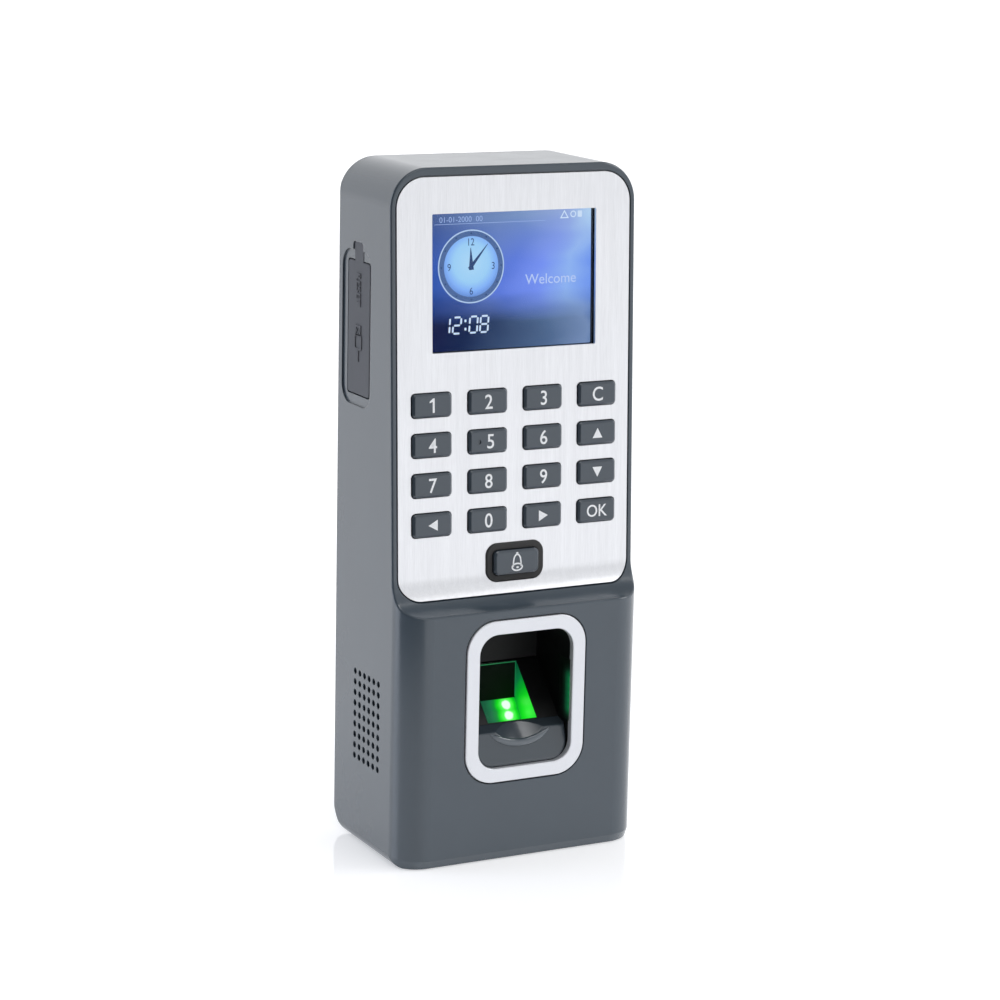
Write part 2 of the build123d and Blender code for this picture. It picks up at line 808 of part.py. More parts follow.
def bell_bezel():
    """The raised surround of the bell key."""
    place = (0, bell_v)
    ring = prism(panel, place, (bezel_width, bezel_height), bezel_radius, -plate_thickness, bezel_proud)
    top = ring.faces().sort_by(lambda item: item.center().dot(panel.z_dir))[-1]
    ring = chamfer(top.edges(), bezel_edge)
    hole = (bell_key_width + 2 * key_clearance, bell_key_height + 2 * key_clearance)
    return ring - prism(panel, place, hole, bell_key_radius + key_clearance, -2, 2)


def keypad_span():
    """The centre height and the size of the keypad's board and mat."""
    high = keypad_v + key_height / 2 + 2 * flange_width
    low = bell_v - bell_key_height / 2 - 2 * flange_width
    width = 3 * column_pitch + key_width + 4 * flange_width
    return (high + low) / 2, (width, high - low)


def keypad_mat():
    """The silicone mat with one contact puck under each key."""
    centre, size = keypad_span()
    mat = prism(panel, (0, centre), size, medium_corner, mat_base, mat_top)
    puck = (key_width * puck_share, key_height * puck_share)
    places = [place for _, place in keypad_positions()]
    for place in [*places, (0, bell_v)]:
        mat += prism(panel, place, puck, medium_corner, mat_top - merge, puck_top)
    for place in keypad_boss_places:
        mat -= peg(panel, place, keypad_boss_radius + loose_clearance, mat_base - 1, mat_top + 1)
    return mat


def keypad_board():
    """The circuit board under the mat."""
    centre, size = keypad_span()
    board = prism(panel, (0, centre), size, medium_corner, keypad_board_base, mat_base)
    for place in keypad_boss_places:
        hole_radius = keypad_screw_radius + rest_gap
        board -= peg(panel, place, hole_radius, keypad_board_base - 1, mat_base + 1)
    return board


# ---- Fingerprint sensor ----------------------------------------------------------------------
def side_block(points, half_span):
    """A block drawn in (depth behind the lower face, height) and centred across the width."""
    corners = [(front_y + depth, height) for depth, height in points]
    outline = Plane.YZ * make_face(Polyline(*corners, close=True))
    return extrude(outline, half_span, both=True)


def window_prism(margin, low, high):
    """The finger opening's outline, grown by a margin, between two depths behind the face."""
    size = (window_width + 2 * margin, window_height + 2 * margin)
    return prism(face, (0, ring_centre_height), size, window_corner + margin, -high, -low)


def sensor_ring():
    """The bright ring around the finger opening."""
    centre = (0, ring_centre_height)
    ring = prism(face, centre, (ring_width, ring_height), ring_radius, -ring_seat, ring_proud)
    ring -= window_prism(0, -1, 2 * ring_seat)
    front = ring.faces().sort_by(Axis.Y)[0]
    return fillet(front.edges(), ring_edge)


def sensor_well():
    """The black liner of the finger recess, with its mounting flange."""
    back = well_depth + well_wall
    body = window_prism(well_wall, ring_seat, back)
    roof = [
        (ring_seat - 1, window_base - 2 * well_wall),
        (back, window_base - 2 * well_wall),
        (back, well_back_height + well_wall),
        (ring_seat, window_top + 2 * well_wall),
        (ring_seat - 1, window_top + 2 * well_wall),
    ]
    body &= side_block(roof, half_width)
    flange = (ring_width + 2 * flange_margin, ring_height - flange_trim)
    body += prism(face, (0, ring_centre_height), flange, 3.0, -wall - flange_plate, -wall)
    cavity = [
        (ring_seat - 1, window_base - 1),
        (well_depth, window_base - 1),
        (well_depth, well_back_height),
        (ring_seat, window_top + touch),
        (ring_seat - 1, window_top + touch),
    ]
    body -= window_prism(0, ring_seat - 1, well_depth) & side_block(cavity, half_width)
    rear_gate = slab(
        (-window_width / 2, window_width / 2),
        (front_y + well_depth - 1, front_y + back + 1),
        (window_base + module_toe, platen_top + rest_gap),
    )
    body -= rear_gate
    hole_radius = sensor_screw_radius + rest_gap
    for place in flange_screw_places:
        body -= peg(face, place, hole_radius, -wall - flange_plate - 1, -wall + 1)
    return body


def finger_guide():
    """The grey apron and scooped ledge, with a rounded lip, that lead the finger up to the platen."""
    points = [
        (apron_start, window_base),
        (apron_depth, apron_top),
        (ledge_depth, platen_base),
        (ledge_depth, window_base),
    ]
    guide = side_block(points, window_width) & window_prism(-seat_clearance, -1, well_depth)
    share = (apron_rise - trough_drop) / apron_rise
    front_depth = apron_start + share * (apron_depth - apron_start)
    rise = math.atan2(platen_base - apron_top + trough_drop, ledge_depth - front_depth)
    centre = (
        front_y + ledge_depth - trough_radius * math.sin(rise),
        platen_base + trough_radius * math.cos(rise),
    )
    axis = Plane(
        origin=(0, centre[0], centre[1]),
        x_dir=(1, 0, 0),
        z_dir=(0, math.cos(rise), math.sin(rise)),
    )
    guide -= axis * extrude(Circle(trough_radius), 4 * ledge_depth, both=True)
    apron = guide.faces().sort_by(Axis.Y)[0]
    return fillet(apron.edges(), lip_radius)


def prism_points(gap):
    """The optical prism in side view, grown by a gap at its hidden faces."""
    lip = prism_lip / math.sqrt(2)
    base = (ledge_depth + lip, platen_base + lip)
    top = (platen_back - lip, platen_top - lip)
    heel = (top[0] + gap, top[1] - prism_back_drop + prism_lip)
    toe = (heel[0] - prism_toe_run + gap, heel[1] - prism_toe_drop - gap)
    chin = (base[0] + prism_chin_run, toe[1])
    return [base, (top[0] + gap, top[1] + gap), heel, toe, chin]


def sensor_prism():
    """The glass prism whose sloping face the finger rests on."""
    return side_block(prism_points(0), prism_width / 2)


def led_places():
    """The places of the four light-emitting diodes along the prism's lower rear face."""
    points = prism_points(0)
    heel = points[2]
    toe = points[3]
    for share in led_shares:
        depth = heel[0] + (toe[0] - heel[0]) * share
        height = heel[1] + (toe[1] - heel[1]) * share
        for sign in (-1, 1):
            yield sign * led_offset, depth, height


def led_plane(place):
    """A plane on the prism's lower rear face, with its normal out of the glass."""
    points = prism_points(0)
    run = (points[3][0] - points[2][0], points[3][1] - points[2][1])
    length = math.hypot(*run)
    normal = (-run[1] / length, run[0] / length)
    origin = (place[0], front_y + place[1], place[2])
    return Plane(origin=origin, x_dir=(1, 0, 0), z_dir=(0, *normal))


def led_block(place, margin):
    """One diode body that touches the glass, grown by a margin."""
    size = (led_width + 2 * margin, led_length + 2 * margin)
    return prism(led_plane(place), (0, 0), size, small_corner, -margin, led_height + margin)


def sensor_housing():
    """The black module body that carries the prism, the diodes and the camera."""
    points = [
        (ledge_depth + seat_clearance, platen_base),
        (platen_back, platen_top - seat_clearance),
        (module_depth, platen_top - seat_clearance),
        (module_depth, window_base + module_toe + seat_clearance),
        (ledge_depth + seat_clearance, window_base + module_toe + seat_clearance),
    ]
    body = side_block(points, window_width / 2 - seat_clearance)
    body &= window_prism(-seat_clearance, 0, module_depth + 1)
    body -= side_block(prism_points(prism_gap), prism_width / 2 + prism_gap)
    body -= [led_block(place, seat_clearance) for place in led_places()]
    start = front_y + platen_back
    return body - bar_y(camera_place, camera_radius + seat_clearance, start - 1, front_y + module_depth + 1)


def sensor_camera():
    """The small camera behind the prism's rear face."""
    start = front_y + platen_back
    barrel = bar_y(camera_place, camera_radius, start + barrel_gap, front_y + module_depth)
    return barrel + bar_y(camera_place, lens_radius, start + lens_gap, start + 2 * barrel_gap)


def sensor_board():
    """The sensor's circuit board, with its ribbon connector."""
    rear = front_y + sensor_board_rear
    board = slab(
        (-sensor_board_width / 2, sensor_board_width / 2),
        (front_y + module_depth, rear),
        (sensor_centre - sensor_board_height / 2, sensor_centre + sensor_board_height / 2),
    )
    plug_z = sensor_centre - sensor_plug_drop
    return board + slab(
        (-sensor_plug_width / 2, sensor_plug_width / 2),
        (rear, rear + sensor_plug_rise),
        (plug_z - sensor_plug_length / 2, plug_z + sensor_plug_length / 2),
    )


def screw_set(places, plane, radii, head_low, head_high, tip):
    """A group of screws along a plane's normal, with shank and head radii."""
    screws = []
    for place in places:
        head = peg(plane, place, radii[1], head_low, head_high)
        screws.append(head + peg(plane, place, radii[0], head_high, tip))
    return Compound(children=screws)


# ---- Electronics, port and fasteners ---------------------------------------------------------
def main_board():
    """The main circuit board, parallel to the rear cover."""
    half = half_width - wall - board_side_gap
    board = slab((-half, half), (board_front, board_rear), (board_base, board_top))
    for place in board_screw_places:
        board -= bar_y(place, board_screw_radius + rest_gap, board_front - 1, board_rear + 1)
    return board


def on_board(x, z, width, height, rise):
    """A block standing on the front of the main board."""
    z_span = (z - height / 2, z + height / 2)
    return slab((x - width / 2, x + width / 2), (board_front - rise, board_front), z_span)


def drum_on_board(x, z, radius, rise):
    """A round part standing on the front of the main board."""
    return bar_y((x, z), radius, board_front - rise, board_front)


def ribbon_heights():
    """The heights of the three ribbon connectors on the main board."""
    display_z = block_height + display_v * math.cos(tilt) - display_height / 3
    keypad_z = block_height + (bell_v + keypad_v) / 2 * math.cos(tilt)
    sensor_z = sensor_centre + sensor_connector_rise
    return display_z, keypad_z, sensor_z


def board_connectors():
    """The three ribbon connectors on the main board."""
    return Compound(children=[
        on_board(0, height, connector_width, connector_length, connector_height)
        for height in ribbon_heights()
    ])


def header_block(x, width, length, low, high):
    """A block behind the main board, centred on the cable opening's height."""
    z_span = (cable_centre_height - length / 2, cable_centre_height + length / 2)
    return slab((x - width / 2, x + width / 2), (board_rear + low, board_rear + high), z_span)


def wiring_headers():
    """Four wire headers that face the cable opening."""
    headers = []
    pin = 2 * header_pin_radius
    for x in header_places:
        body = header_block(x, header_width, header_length, 0, header_rise)
        cup = (header_width - 2 * header_wall, header_length - 2 * header_wall)
        body -= header_block(x, *cup, header_wall, header_rise + 1)
        for pin_x in header_pins:
            body += header_block(x + pin_x, pin, pin, header_wall / 2, header_pin_length)
        headers.append(body)
    return Compound(children=headers)


def panel_rear_point(v, w):
    """The (y, z) point at a place on the panel's middle line and a height off the panel."""
    point = panel.from_local_coords(Vector(0, v, w))
    return (point.Y, point.Z)


def ribbons():
    """The flat cables of the display, the keypad and the sensor, each ending at the main board."""
    ends = [(board_front - connector_height, height) for height in ribbon_heights()]
    display_start = panel_rear_point(display_v - display_height / 4, backlight_base)
    keypad_start = panel_rear_point((bell_v + keypad_v) / 2 - keypad_ribbon_drop, keypad_board_base)
    sensor_start = (front_y + sensor_board_rear + sensor_plug_rise, sensor_centre - sensor_plug_drop)
    return {
        "display_ribbon": ribbon(display_start, ends[0], display_ribbon_width),
        "keypad_ribbon": ribbon(keypad_start, ends[1], keypad_ribbon_width),
        "sensor_ribbon": ribbon(sensor_start, ends[2], keypad_ribbon_width),
    }


def speaker_span():
    """The (y, z) centre of the speaker, behind the middle of the vents."""
    y = rear_y - vent_rear_gap - (vent_columns - 1) * vent_pitch / 2
    z = vent_top_height - (vent_rows - 1) * vent_pitch / 2
    return y, z


def speaker_gasket():
    """The foam ring between the speaker and the wall."""
    y, z = speaker_span()
    place = (-y, z)
    size = (speaker_width, speaker_height)
    ring = prism(side, place, size, large_corner, -wall - gasket_thickness, -wall)
    hole = (speaker_width - 2 * gasket_band, speaker_height - 2 * gasket_band)
    return ring - prism(side, place, hole, medium_corner, -wall - 2 * gasket_thickness, 0)


def speaker():
    """The loudspeaker: a framed cone with its magnet."""
    y, z = speaker_span()
    place = (-y, z)
    front = -wall - gasket_thickness
    middle = front - speaker_thickness / 2
    body = prism(side, place, (speaker_width, speaker_height), large_corner, middle, front)
    dish = (speaker_width - 2 * gasket_band, speaker_height - 2 * gasket_band)
    body -= prism(side, place, dish, medium_corner, front - speaker_dish, front + 1)
    magnet_radius = speaker_width / 2 - gasket_band
    return body + peg(side, place, magnet_radius, front - speaker_thickness, middle)


def anchor_blocks(margin, extra):
    """The flap's fixed tab as a neck and a head, grown by a margin."""
    low = -flap_thickness - margin
    high = extra - flap_sink
    neck_z = flap_top + hinge_gap + tab_neck / 2
    neck_size = (tab_width + 2 * margin, tab_neck + 2 * margin)
    neck = prism(side, (-flap_y, neck_z), neck_size, small_corner, low, high)
    head_z = flap_top + tab_neck + tab_head_height / 2
    head_size = (tab_head_width + 2 * margin, tab_head_height + 2 * margin)
    head = prism(side, (-flap_y, head_z), head_size, medium_corner, low, high)
    return [neck, head]


def port_cover_anchor():
    """The rubber tab that the flap hangs from, pressed into the housing."""
    neck, head = anchor_blocks(0, 0)
    return neck + head


def port_cover():
    """The rubber flap over the port and the reset button."""
    size = (flap_width, flap_height)
    flap = prism(side, (-flap_y, flap_z), size, flap_radius, -flap_thickness, -flap_sink)
    outer = flap.faces().sort_by(Axis.X)[0]
    flap = fillet(outer.edges(), small_corner)
    slot_size = (tab_width, nail_slot_height)
    slot_base = -nail_slot_drop - nail_slot_width
    slot = prism(side, (-flap_y, flap_base_height), slot_size, small_corner, slot_base, -nail_slot_drop)
    return flap - slot


def usb_port():
    """The metal shell of the data port with its tongue."""
    x_low = -half_width + recess_floor + usb_inset
    x_high = x_low + usb_length
    y_span = (board_front - usb_thickness, board_front)
    z_span = (usb_height - usb_width / 2, usb_height + usb_width / 2)
    shell = slab((x_low, x_high), y_span, z_span)
    shell -= slab(
        (x_low - 1, x_high - usb_back),
        (y_span[0] + usb_shell, y_span[1] - usb_shell),
        (z_span[0] + usb_shell, z_span[1] - usb_shell),
    )
    tongue_low = y_span[0] + usb_shell + usb_tongue_gap
    return shell + slab(
        (x_low + usb_tongue_inset, x_high - 1),
        (tongue_low, tongue_low + usb_tongue_thickness),
        (z_span[0] + usb_tongue_inset, z_span[1] - usb_tongue_inset),
    )


def reset_parts():
    """The reset switch and its moving button."""
    face_x = -half_width + recess_floor + port_floor + switch_gap
    tip_x = -half_width + recess_floor + usb_inset
    cavity = reset_travel + switch_bite
    body = slab(
        (face_x, face_x + switch_length),
        (board_front - switch_size, board_front),
        (reset_height - switch_size / 2, reset_height + switch_size / 2),
    )
    place = (usb_y, reset_height)
    body -= bar_x(place, reset_button_radius + rest_gap, face_x - 1, face_x + cavity)
    rest_x = face_x + cavity - reset_travel - rest_gap
    return body, bar_x(place, reset_button_radius, tip_x, rest_x)


def housing_screws():
    """Four screws through the rear cover into the housing's bosses."""
    screws = []
    head_top = housing_head_base + housing_head_height
    for x, z in boss_places:
        head = bar_y((x, z), housing_head_radius, housing_head_base, head_top)
        drive = slab(
            (x - drive_length / 2, x + drive_length / 2),
            (head_top - drive_depth, rear_y),
            (z - drive_width / 2, z + drive_width / 2),
        )
        tip = plug_y - housing_screw_length + 2 * medium_corner
        screws.append(head - drive + bar_y((x, z), housing_screw_radius, tip, housing_head_base))
    return Compound(children=screws)


def board_screws():
    """Four screws that hold the main board to the rear cover's standoffs."""
    screws = []
    for place in board_screw_places:
        head = bar_y(place, board_head_radius, board_front - board_head_height, board_front)
        tip = board_front + board_screw_length - screw_tip_gap
        screws.append(head + bar_y(place, board_screw_radius, board_front, tip))
    return Compound(children=screws)


def security_screw():
    """The screw in the base that locks the terminal to its wall plate."""
    head_top = security_head_base + security_head_height
    head = post(security_head_radius, security_head_base, head_top)
    shank = post(security_screw_radius, security_head_base, wall_plate_base + 2 * wall_plate_thickness)
    hexagon = RegularPolygon(security_socket_radius, 6)
    socket = Pos(0, security_y, security_head_base) * extrude(hexagon, security_socket_depth)
    return head + shank - socket


def collect_parts():
    """Every node's solid by name."""
    parts = {
        "front_housing": front_housing(),
        "rear_cover": rear_cover(),
        "faceplate": faceplate(),
        "display_window": display_window(),
        "lcd_frame": lcd_frame(),
        "lcd_panel": lcd_layer(lcd_base, lcd_top),
        "display_backlight": lcd_layer(backlight_base, lcd_base),
        "keypad_mat": keypad_mat(),
        "keypad_board": keypad_board(),
        "bell_bezel": bell_bezel(),
        "sensor_ring": sensor_ring(),
        "finger_guide": finger_guide(),
        "sensor_well": sensor_well(),
        "sensor_housing": sensor_housing(),
        "sensor_prism": sensor_prism(),
        "sensor_leds": Compound(children=[led_block(place, 0) for place in led_places()]),
        "sensor_camera": sensor_camera(),
        "sensor_board": sensor_board(),
        "main_board": main_board(),
        "board_screws": board_screws(),
        "board_connectors": board_connectors(),
        "wiring_headers": wiring_headers(),
        "speaker": speaker(),
        "speaker_gasket": speaker_gasket(),
        "port_cover": port_cover(),
        "port_cover_anchor": port_cover_anchor(),
        "usb_port": usb_port(),
        "wall_plate": wall_plate(),
        "security_screw": security_screw(),
        "housing_screws": housing_screws(),
    }
    flange_low = -wall - flange_plate
    parts["sensor_screws"] = screw_set(
        flange_screw_places,
        face,
        (sensor_screw_radius, sensor_head_radius),
        flange_low - small_head_height,
        flange_low,
        -wall + sensor_screw_bite,
    )
    parts["keypad_screws"] = screw_set(
        keypad_boss_places,
        panel,
        (keypad_screw_radius, keypad_head_radius),
        keypad_board_base - small_head_height,
        keypad_board_base,
        -wall - 2 * screw_tip_gap,
    )
    for name, place in keypad_positions():
        parts["key_" + name] = keypad_key(name, place)
    parts["bell_key"] = key_solid(
        (0, bell_v), bell_key_width, bell_key_height, bell_key_radius, bell_key_proud, key_chamfer)
    parts["reset_switch"], parts["reset_button"] = reset_parts()
    parts.update(ribbons())
    parts["processor_chips"] = Compound(children=[on_board(*place) for place in chip_places])
    parts["capacitors"] = Compound(children=[drum_on_board(*place) for place in capacitor_places])
    parts["lock_relay"] = on_board(*relay_place)
    parts["buzzer"] = drum_on_board(*buzzer_place)
    cell = drum_on_board(*cell_place)
    cell_x, cell_z, cell_radius, cell_height = cell_place
    holder_radius = cell_radius + cell_holder_wall
    holder = drum_on_board(cell_x, cell_z, holder_radius, cell_height + cell_holder_floor)
    parts["coin_cell"] = cell
    parts["coin_cell_holder"] = holder - cell
    return parts


os.makedirs("parts", exist_ok=True)
for node, solid in collect_parts().items():
    export_step(solid, f"parts/{node}.step")
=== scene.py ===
"""Looks of a wall terminal with a fingerprint reader, a keypad and a colour display.

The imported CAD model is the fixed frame. Every class below dresses one sub-assembly of it: it gives
the CAD nodes their finishes and adds the pieces that are too thin or too small for the CAD model,
such as printed legends, the picture on the display and the light inside the sensor.
"""
from __future__ import annotations

import json
import logging
import math
from dataclasses import dataclass
from enum import Enum
from typing import Any, Iterable, Mapping, Sequence

import bmesh
import bpy
from mathutils import Matrix, Vector


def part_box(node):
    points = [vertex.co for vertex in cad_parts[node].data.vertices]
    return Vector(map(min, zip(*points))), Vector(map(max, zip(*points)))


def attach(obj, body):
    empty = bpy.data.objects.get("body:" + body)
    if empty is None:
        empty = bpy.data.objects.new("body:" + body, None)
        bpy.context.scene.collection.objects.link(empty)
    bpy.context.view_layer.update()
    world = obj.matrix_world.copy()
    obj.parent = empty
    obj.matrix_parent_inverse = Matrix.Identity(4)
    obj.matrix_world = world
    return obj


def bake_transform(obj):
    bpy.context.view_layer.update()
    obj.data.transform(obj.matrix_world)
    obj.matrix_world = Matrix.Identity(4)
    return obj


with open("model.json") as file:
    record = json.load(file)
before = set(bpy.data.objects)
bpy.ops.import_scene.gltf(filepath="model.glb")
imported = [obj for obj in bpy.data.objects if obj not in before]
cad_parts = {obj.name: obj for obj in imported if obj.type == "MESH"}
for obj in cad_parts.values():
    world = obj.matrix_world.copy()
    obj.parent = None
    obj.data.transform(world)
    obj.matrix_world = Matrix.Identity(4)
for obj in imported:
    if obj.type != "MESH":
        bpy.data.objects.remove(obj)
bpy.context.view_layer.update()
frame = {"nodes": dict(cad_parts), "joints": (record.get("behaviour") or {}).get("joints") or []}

MM = 0.001
ROOT = "housing"
LOG = logging.getLogger("terminal")

Point2 = tuple[float, float]
Socket = bpy.types.NodeSocket


# ---- Small tools -----------------------------------------------------------------------------
def linear(code: str) -> tuple[float, float, float, float]:
    """Turns an sRGB hex colour into linear RGBA.

    Args:
        code: Six hex digits, such as "5c6368".

    Returns:
        The linear colour with full alpha.
    """
    values = [int(code[i:i + 2], 16) / 255 for i in (0, 2, 4)]
    red, green, blue = (v / 12.92 if v <= 0.04045 else ((v + 0.055) / 1.055) ** 2.4 for v in values)
    return (red, green, blue, 1.0)


def add(tree: bpy.types.NodeTree, kind: str, settings: Mapping[str, Any] | None = None,
        inputs: Mapping[str | int, Any] | None = None) -> bpy.types.Node:
    """Adds a node with its settings, and links or sets its inputs.

    Args:
        tree: The node tree to add to.
        kind: The node's type name.
        settings: Attribute values of the node.
        inputs: Socket names or indices, each with a value or an output socket to link.

    Returns:
        The new node.
    """
    node = tree.nodes.new(kind)
    for name, value in (settings or {}).items():
        setattr(node, name, value)
    for name, value in (inputs or {}).items():
        if isinstance(value, Socket):
            tree.links.new(value, node.inputs[name])
        else:
            node.inputs[name].default_value = value
    return node


def per_mm(size: float) -> float:
    """The texture scale that repeats about once in a size given in millimetres."""
    return 1.0 / (size * MM)


def maths(tree: bpy.types.NodeTree, operation: str, *values: Any) -> Socket:
    """Adds a math node on values or sockets and returns its result."""
    return add(tree, "ShaderNodeMath", {"operation": operation}, dict(enumerate(values))).outputs["Value"]


def ramp(tree: bpy.types.NodeTree, factor: Socket, stops: Sequence[tuple[float, str]]) -> Socket:
    """Adds a colour ramp with sRGB hex stops and returns its colour output."""
    node = add(tree, "ShaderNodeValToRGB", inputs={"Fac": factor})
    elements = node.color_ramp.elements
    while len(elements) < len(stops):
        elements.new(0.5)
    for element, (position, code) in zip(elements, stops):
        element.position = position
        element.color = linear(code)
    return node.outputs["Color"]


# ---- Finishes --------------------------------------------------------------------------------
@dataclass(frozen=True)
class Finish:
    """A named surface finish that builds its own material once."""

    name: str

    def material(self) -> bpy.types.Material:
        """Builds the material on first use and returns it."""
        found = bpy.data.materials.get(self.name)
        if found is None:
            found = bpy.data.materials.new(self.name)
            found.use_nodes = True
            tree = found.node_tree
            tree.nodes.clear()
            add(tree, "ShaderNodeOutputMaterial", inputs={"Surface": self.surface(tree)})
        return found

    def surface(self, tree: bpy.types.NodeTree) -> Socket:
        """Builds the shader and returns its output."""
        raise NotImplementedError

    def place(self, tree: bpy.types.NodeTree) -> Socket:
        """The piece's own coordinates, in metres."""
        return add(tree, "ShaderNodeTexCoord").outputs["Object"]

    def noise(self, tree: bpy.types.NodeTree, size_mm: float, detail: float = 2.0,
              stretch: tuple[float, float, float] = (1, 1, 1)) -> Socket:
        """Noise whose grains measure about a size in millimetres.

        Args:
            tree: The material's node tree.
            size_mm: The size of one grain.
            detail: Octaves of finer noise.
            stretch: How many times longer the grains are along each axis.

        Returns:
            The noise value, from 0 to 1.
        """
        scale = tuple(1.0 / s for s in stretch)
        mapping = add(tree, "ShaderNodeMapping", inputs={"Vector": self.place(tree), "Scale": scale})
        return add(tree, "ShaderNodeTexNoise", inputs={
            "Vector": mapping.outputs["Vector"], "Scale": per_mm(size_mm), "Detail": detail,
        }).outputs["Fac"]

    def span(self, tree: bpy.types.NodeTree, value: Socket, low: float, high: float,
             source: Point2 = (0.0, 1.0)) -> Socket:
        """Maps a value from a source range onto the range from low to high."""
        return add(tree, "ShaderNodeMapRange", inputs={
            "Value": value, "From Min": source[0], "From Max": source[1],
            "To Min": low, "To Max": high,
        }).outputs["Result"]

    def shaded(self, tree: bpy.types.NodeTree, colour: str, value: Socket, share: float) -> Socket:
        """A colour that gets darker and lighter by a share as a value goes from 0.3 to 0.7."""
        base = linear(colour)
        dark = tuple(c * (1 - share) for c in base[:3]) + (1.0,)
        light = tuple(min(1.0, c * (1 + share)) for c in base[:3]) + (1.0,)
        factor = self.span(tree, value, 0.0, 1.0, (0.3, 0.7))
        mix = add(tree, "ShaderNodeMix", {"data_type": "RGBA"}, {0: factor, 6: dark, 7: light})
        return mix.outputs[2]

    def bump(self, tree: bpy.types.NodeTree, height: Socket, depth_mm: float, strength: float,
             edge_mm: float = 0.15) -> Socket:
        """A bump normal over softened edges.

        Args:
            tree: The material's node tree.
            height: The height value.
            depth_mm: How deep the height goes, in millimetres.
            strength: How much of it shows.
            edge_mm: The radius that the edges are eased with, in millimetres.

        Returns:
            The normal.
        """
        eased = add(tree, "ShaderNodeBevel", {"samples": 4}, {"Radius": edge_mm * MM})
        return add(tree, "ShaderNodeBump", inputs={
            "Height": height, "Distance": depth_mm * MM, "Strength": strength,
            "Normal": eased.outputs["Normal"],
        }).outputs["Normal"]


@dataclass(frozen=True)
class MouldedPlastic(Finish):
    """Injection-moulded ABS or nylon: satin, with the tool's fine even grain, lacquered or bare."""

    colour: str
    roughness: float = 0.38
    grain_mm: float = 0.28
    grain_depth_mm: float = 0.012
    shade: float = 0.05
    ior: float = 1.54
    edge_mm: float = 0.25
    lacquer: float = 0.0

    def surface(self, tree: bpy.types.NodeTree) -> Socket:
        """Builds the satin plastic."""
        clouds = self.noise(tree, 22.0, 3.0)
        grain = self.noise(tree, self.grain_mm, 3.0)
        handled = self.noise(tree, 9.0, 4.0)
        return add(tree, "ShaderNodeBsdfPrincipled", inputs={
            "Base Color": self.shaded(tree, self.colour, clouds, self.shade),
            "Roughness": self.span(tree, handled, self.roughness - 0.03, self.roughness + 0.04),
            "IOR": self.ior,
            "Coat Weight": self.lacquer,
            "Coat Roughness": self.roughness - 0.04,
            "Normal": self.bump(tree, grain, self.grain_depth_mm, 0.12, self.edge_mm),
        }).outputs["BSDF"]


@dataclass(frozen=True)
class BrushedAluminium(Finish):
    """Aluminium sheet brushed in one direction and clear anodised: pale, with fine upright lines."""

    colour: str
    roughness: float = 0.34
    line_mm: float = 0.2
    band_mm: float = 1.2
    length_mm: float = 420.0

    def surface(self, tree: bpy.types.NodeTree) -> Socket:
        """Builds the brushed sheet. The lines are drawn about four times as coarse as real ones."""
        lines = self.noise(tree, self.line_mm, 2.0, (1, 1, self.length_mm / self.line_mm))
        bands = self.noise(tree, self.band_mm, 3.0, (1, 1, 2 * self.length_mm / self.band_mm))
        both = maths(tree, "MULTIPLY_ADD", bands, 0.45, self.span(tree, lines, 0.0, 0.55))
        return add(tree, "ShaderNodeBsdfPrincipled", inputs={
            "Base Color": self.shaded(tree, self.colour, both, 0.075),
            "Metallic": 1.0,
            "Roughness": self.span(tree, lines, self.roughness - 0.06, self.roughness + 0.08, (0.3, 0.7)),
            "Normal": self.bump(tree, lines, 0.006, 0.5),
        }).outputs["BSDF"]


@dataclass(frozen=True)
class SilverPaint(Finish):
    """A moulded part sprayed with bright silver paint: metallic flakes under a soft lacquer."""

    colour: str
    roughness: float = 0.36
    flake_mm: float = 0.12

    def surface(self, tree: bpy.types.NodeTree) -> Socket:
        """Builds the silver paint."""
        flakes = self.noise(tree, self.flake_mm, 1.0)
        return add(tree, "ShaderNodeBsdfPrincipled", inputs={
            "Base Color": self.shaded(tree, self.colour, flakes, 0.04),
            "Metallic": 0.45,
            "Roughness": self.span(tree, self.noise(tree, 6.0), self.roughness - 0.04, self.roughness + 0.05),
            "Coat Weight": 0.25,
            "Coat Roughness": 0.2,
            "Normal": self.bump(tree, flakes, 0.004, 0.25),
        }).outputs["BSDF"]


@dataclass(frozen=True)
class MetalStock(Finish):
    """Zinc-plated, nickel-plated or plain steel, rolled or turned: cool grey with a faint grain."""

    colour: str
    roughness: float = 0.32
    grain_mm: float = 0.35
    stretch: tuple[float, float, float] = (1, 1, 1)
    stain: float = 0.08

    def surface(self, tree: bpy.types.NodeTree) -> Socket:
        """Builds the plated metal."""
        grain = self.noise(tree, self.grain_mm, 2.0, self.stretch)
        stains = self.noise(tree, 7.0, 4.0)
        return add(tree, "ShaderNodeBsdfPrincipled", inputs={
            "Base Color": self.shaded(tree, self.colour, stains, self.stain),
            "Metallic": 1.0,
            "Roughness": self.span(tree, grain, self.roughness - 0.08, self.roughness + 0.12, (0.3, 0.7)),
            "Normal": self.bump(tree, grain, 0.006, 0.4),
        }).outputs["BSDF"]


@dataclass(frozen=True)
class SoftRubber(Finish):
    """Moulded silicone or soft rubber: almost matt, with a dusty bloom on its skin."""

    colour: str
    roughness: float = 0.62
    grain_mm: float = 0.4
    gloss: float = 0.4

    def surface(self, tree: bpy.types.NodeTree) -> Socket:
        """Builds the rubber."""
        bloom = self.noise(tree, 5.0, 4.0)
        grain = self.noise(tree, self.grain_mm, 2.0)
        return add(tree, "ShaderNodeBsdfPrincipled", inputs={
            "Base Color": self.shaded(tree, self.colour, bloom, 0.12),
            "Roughness": self.span(tree, bloom, self.roughness - 0.06, self.roughness + 0.1),
            "IOR": 1.42,
            "Specular IOR Level": self.gloss,
            "Normal": self.bump(tree, grain, 0.015, 0.35),
        }).outputs["BSDF"]


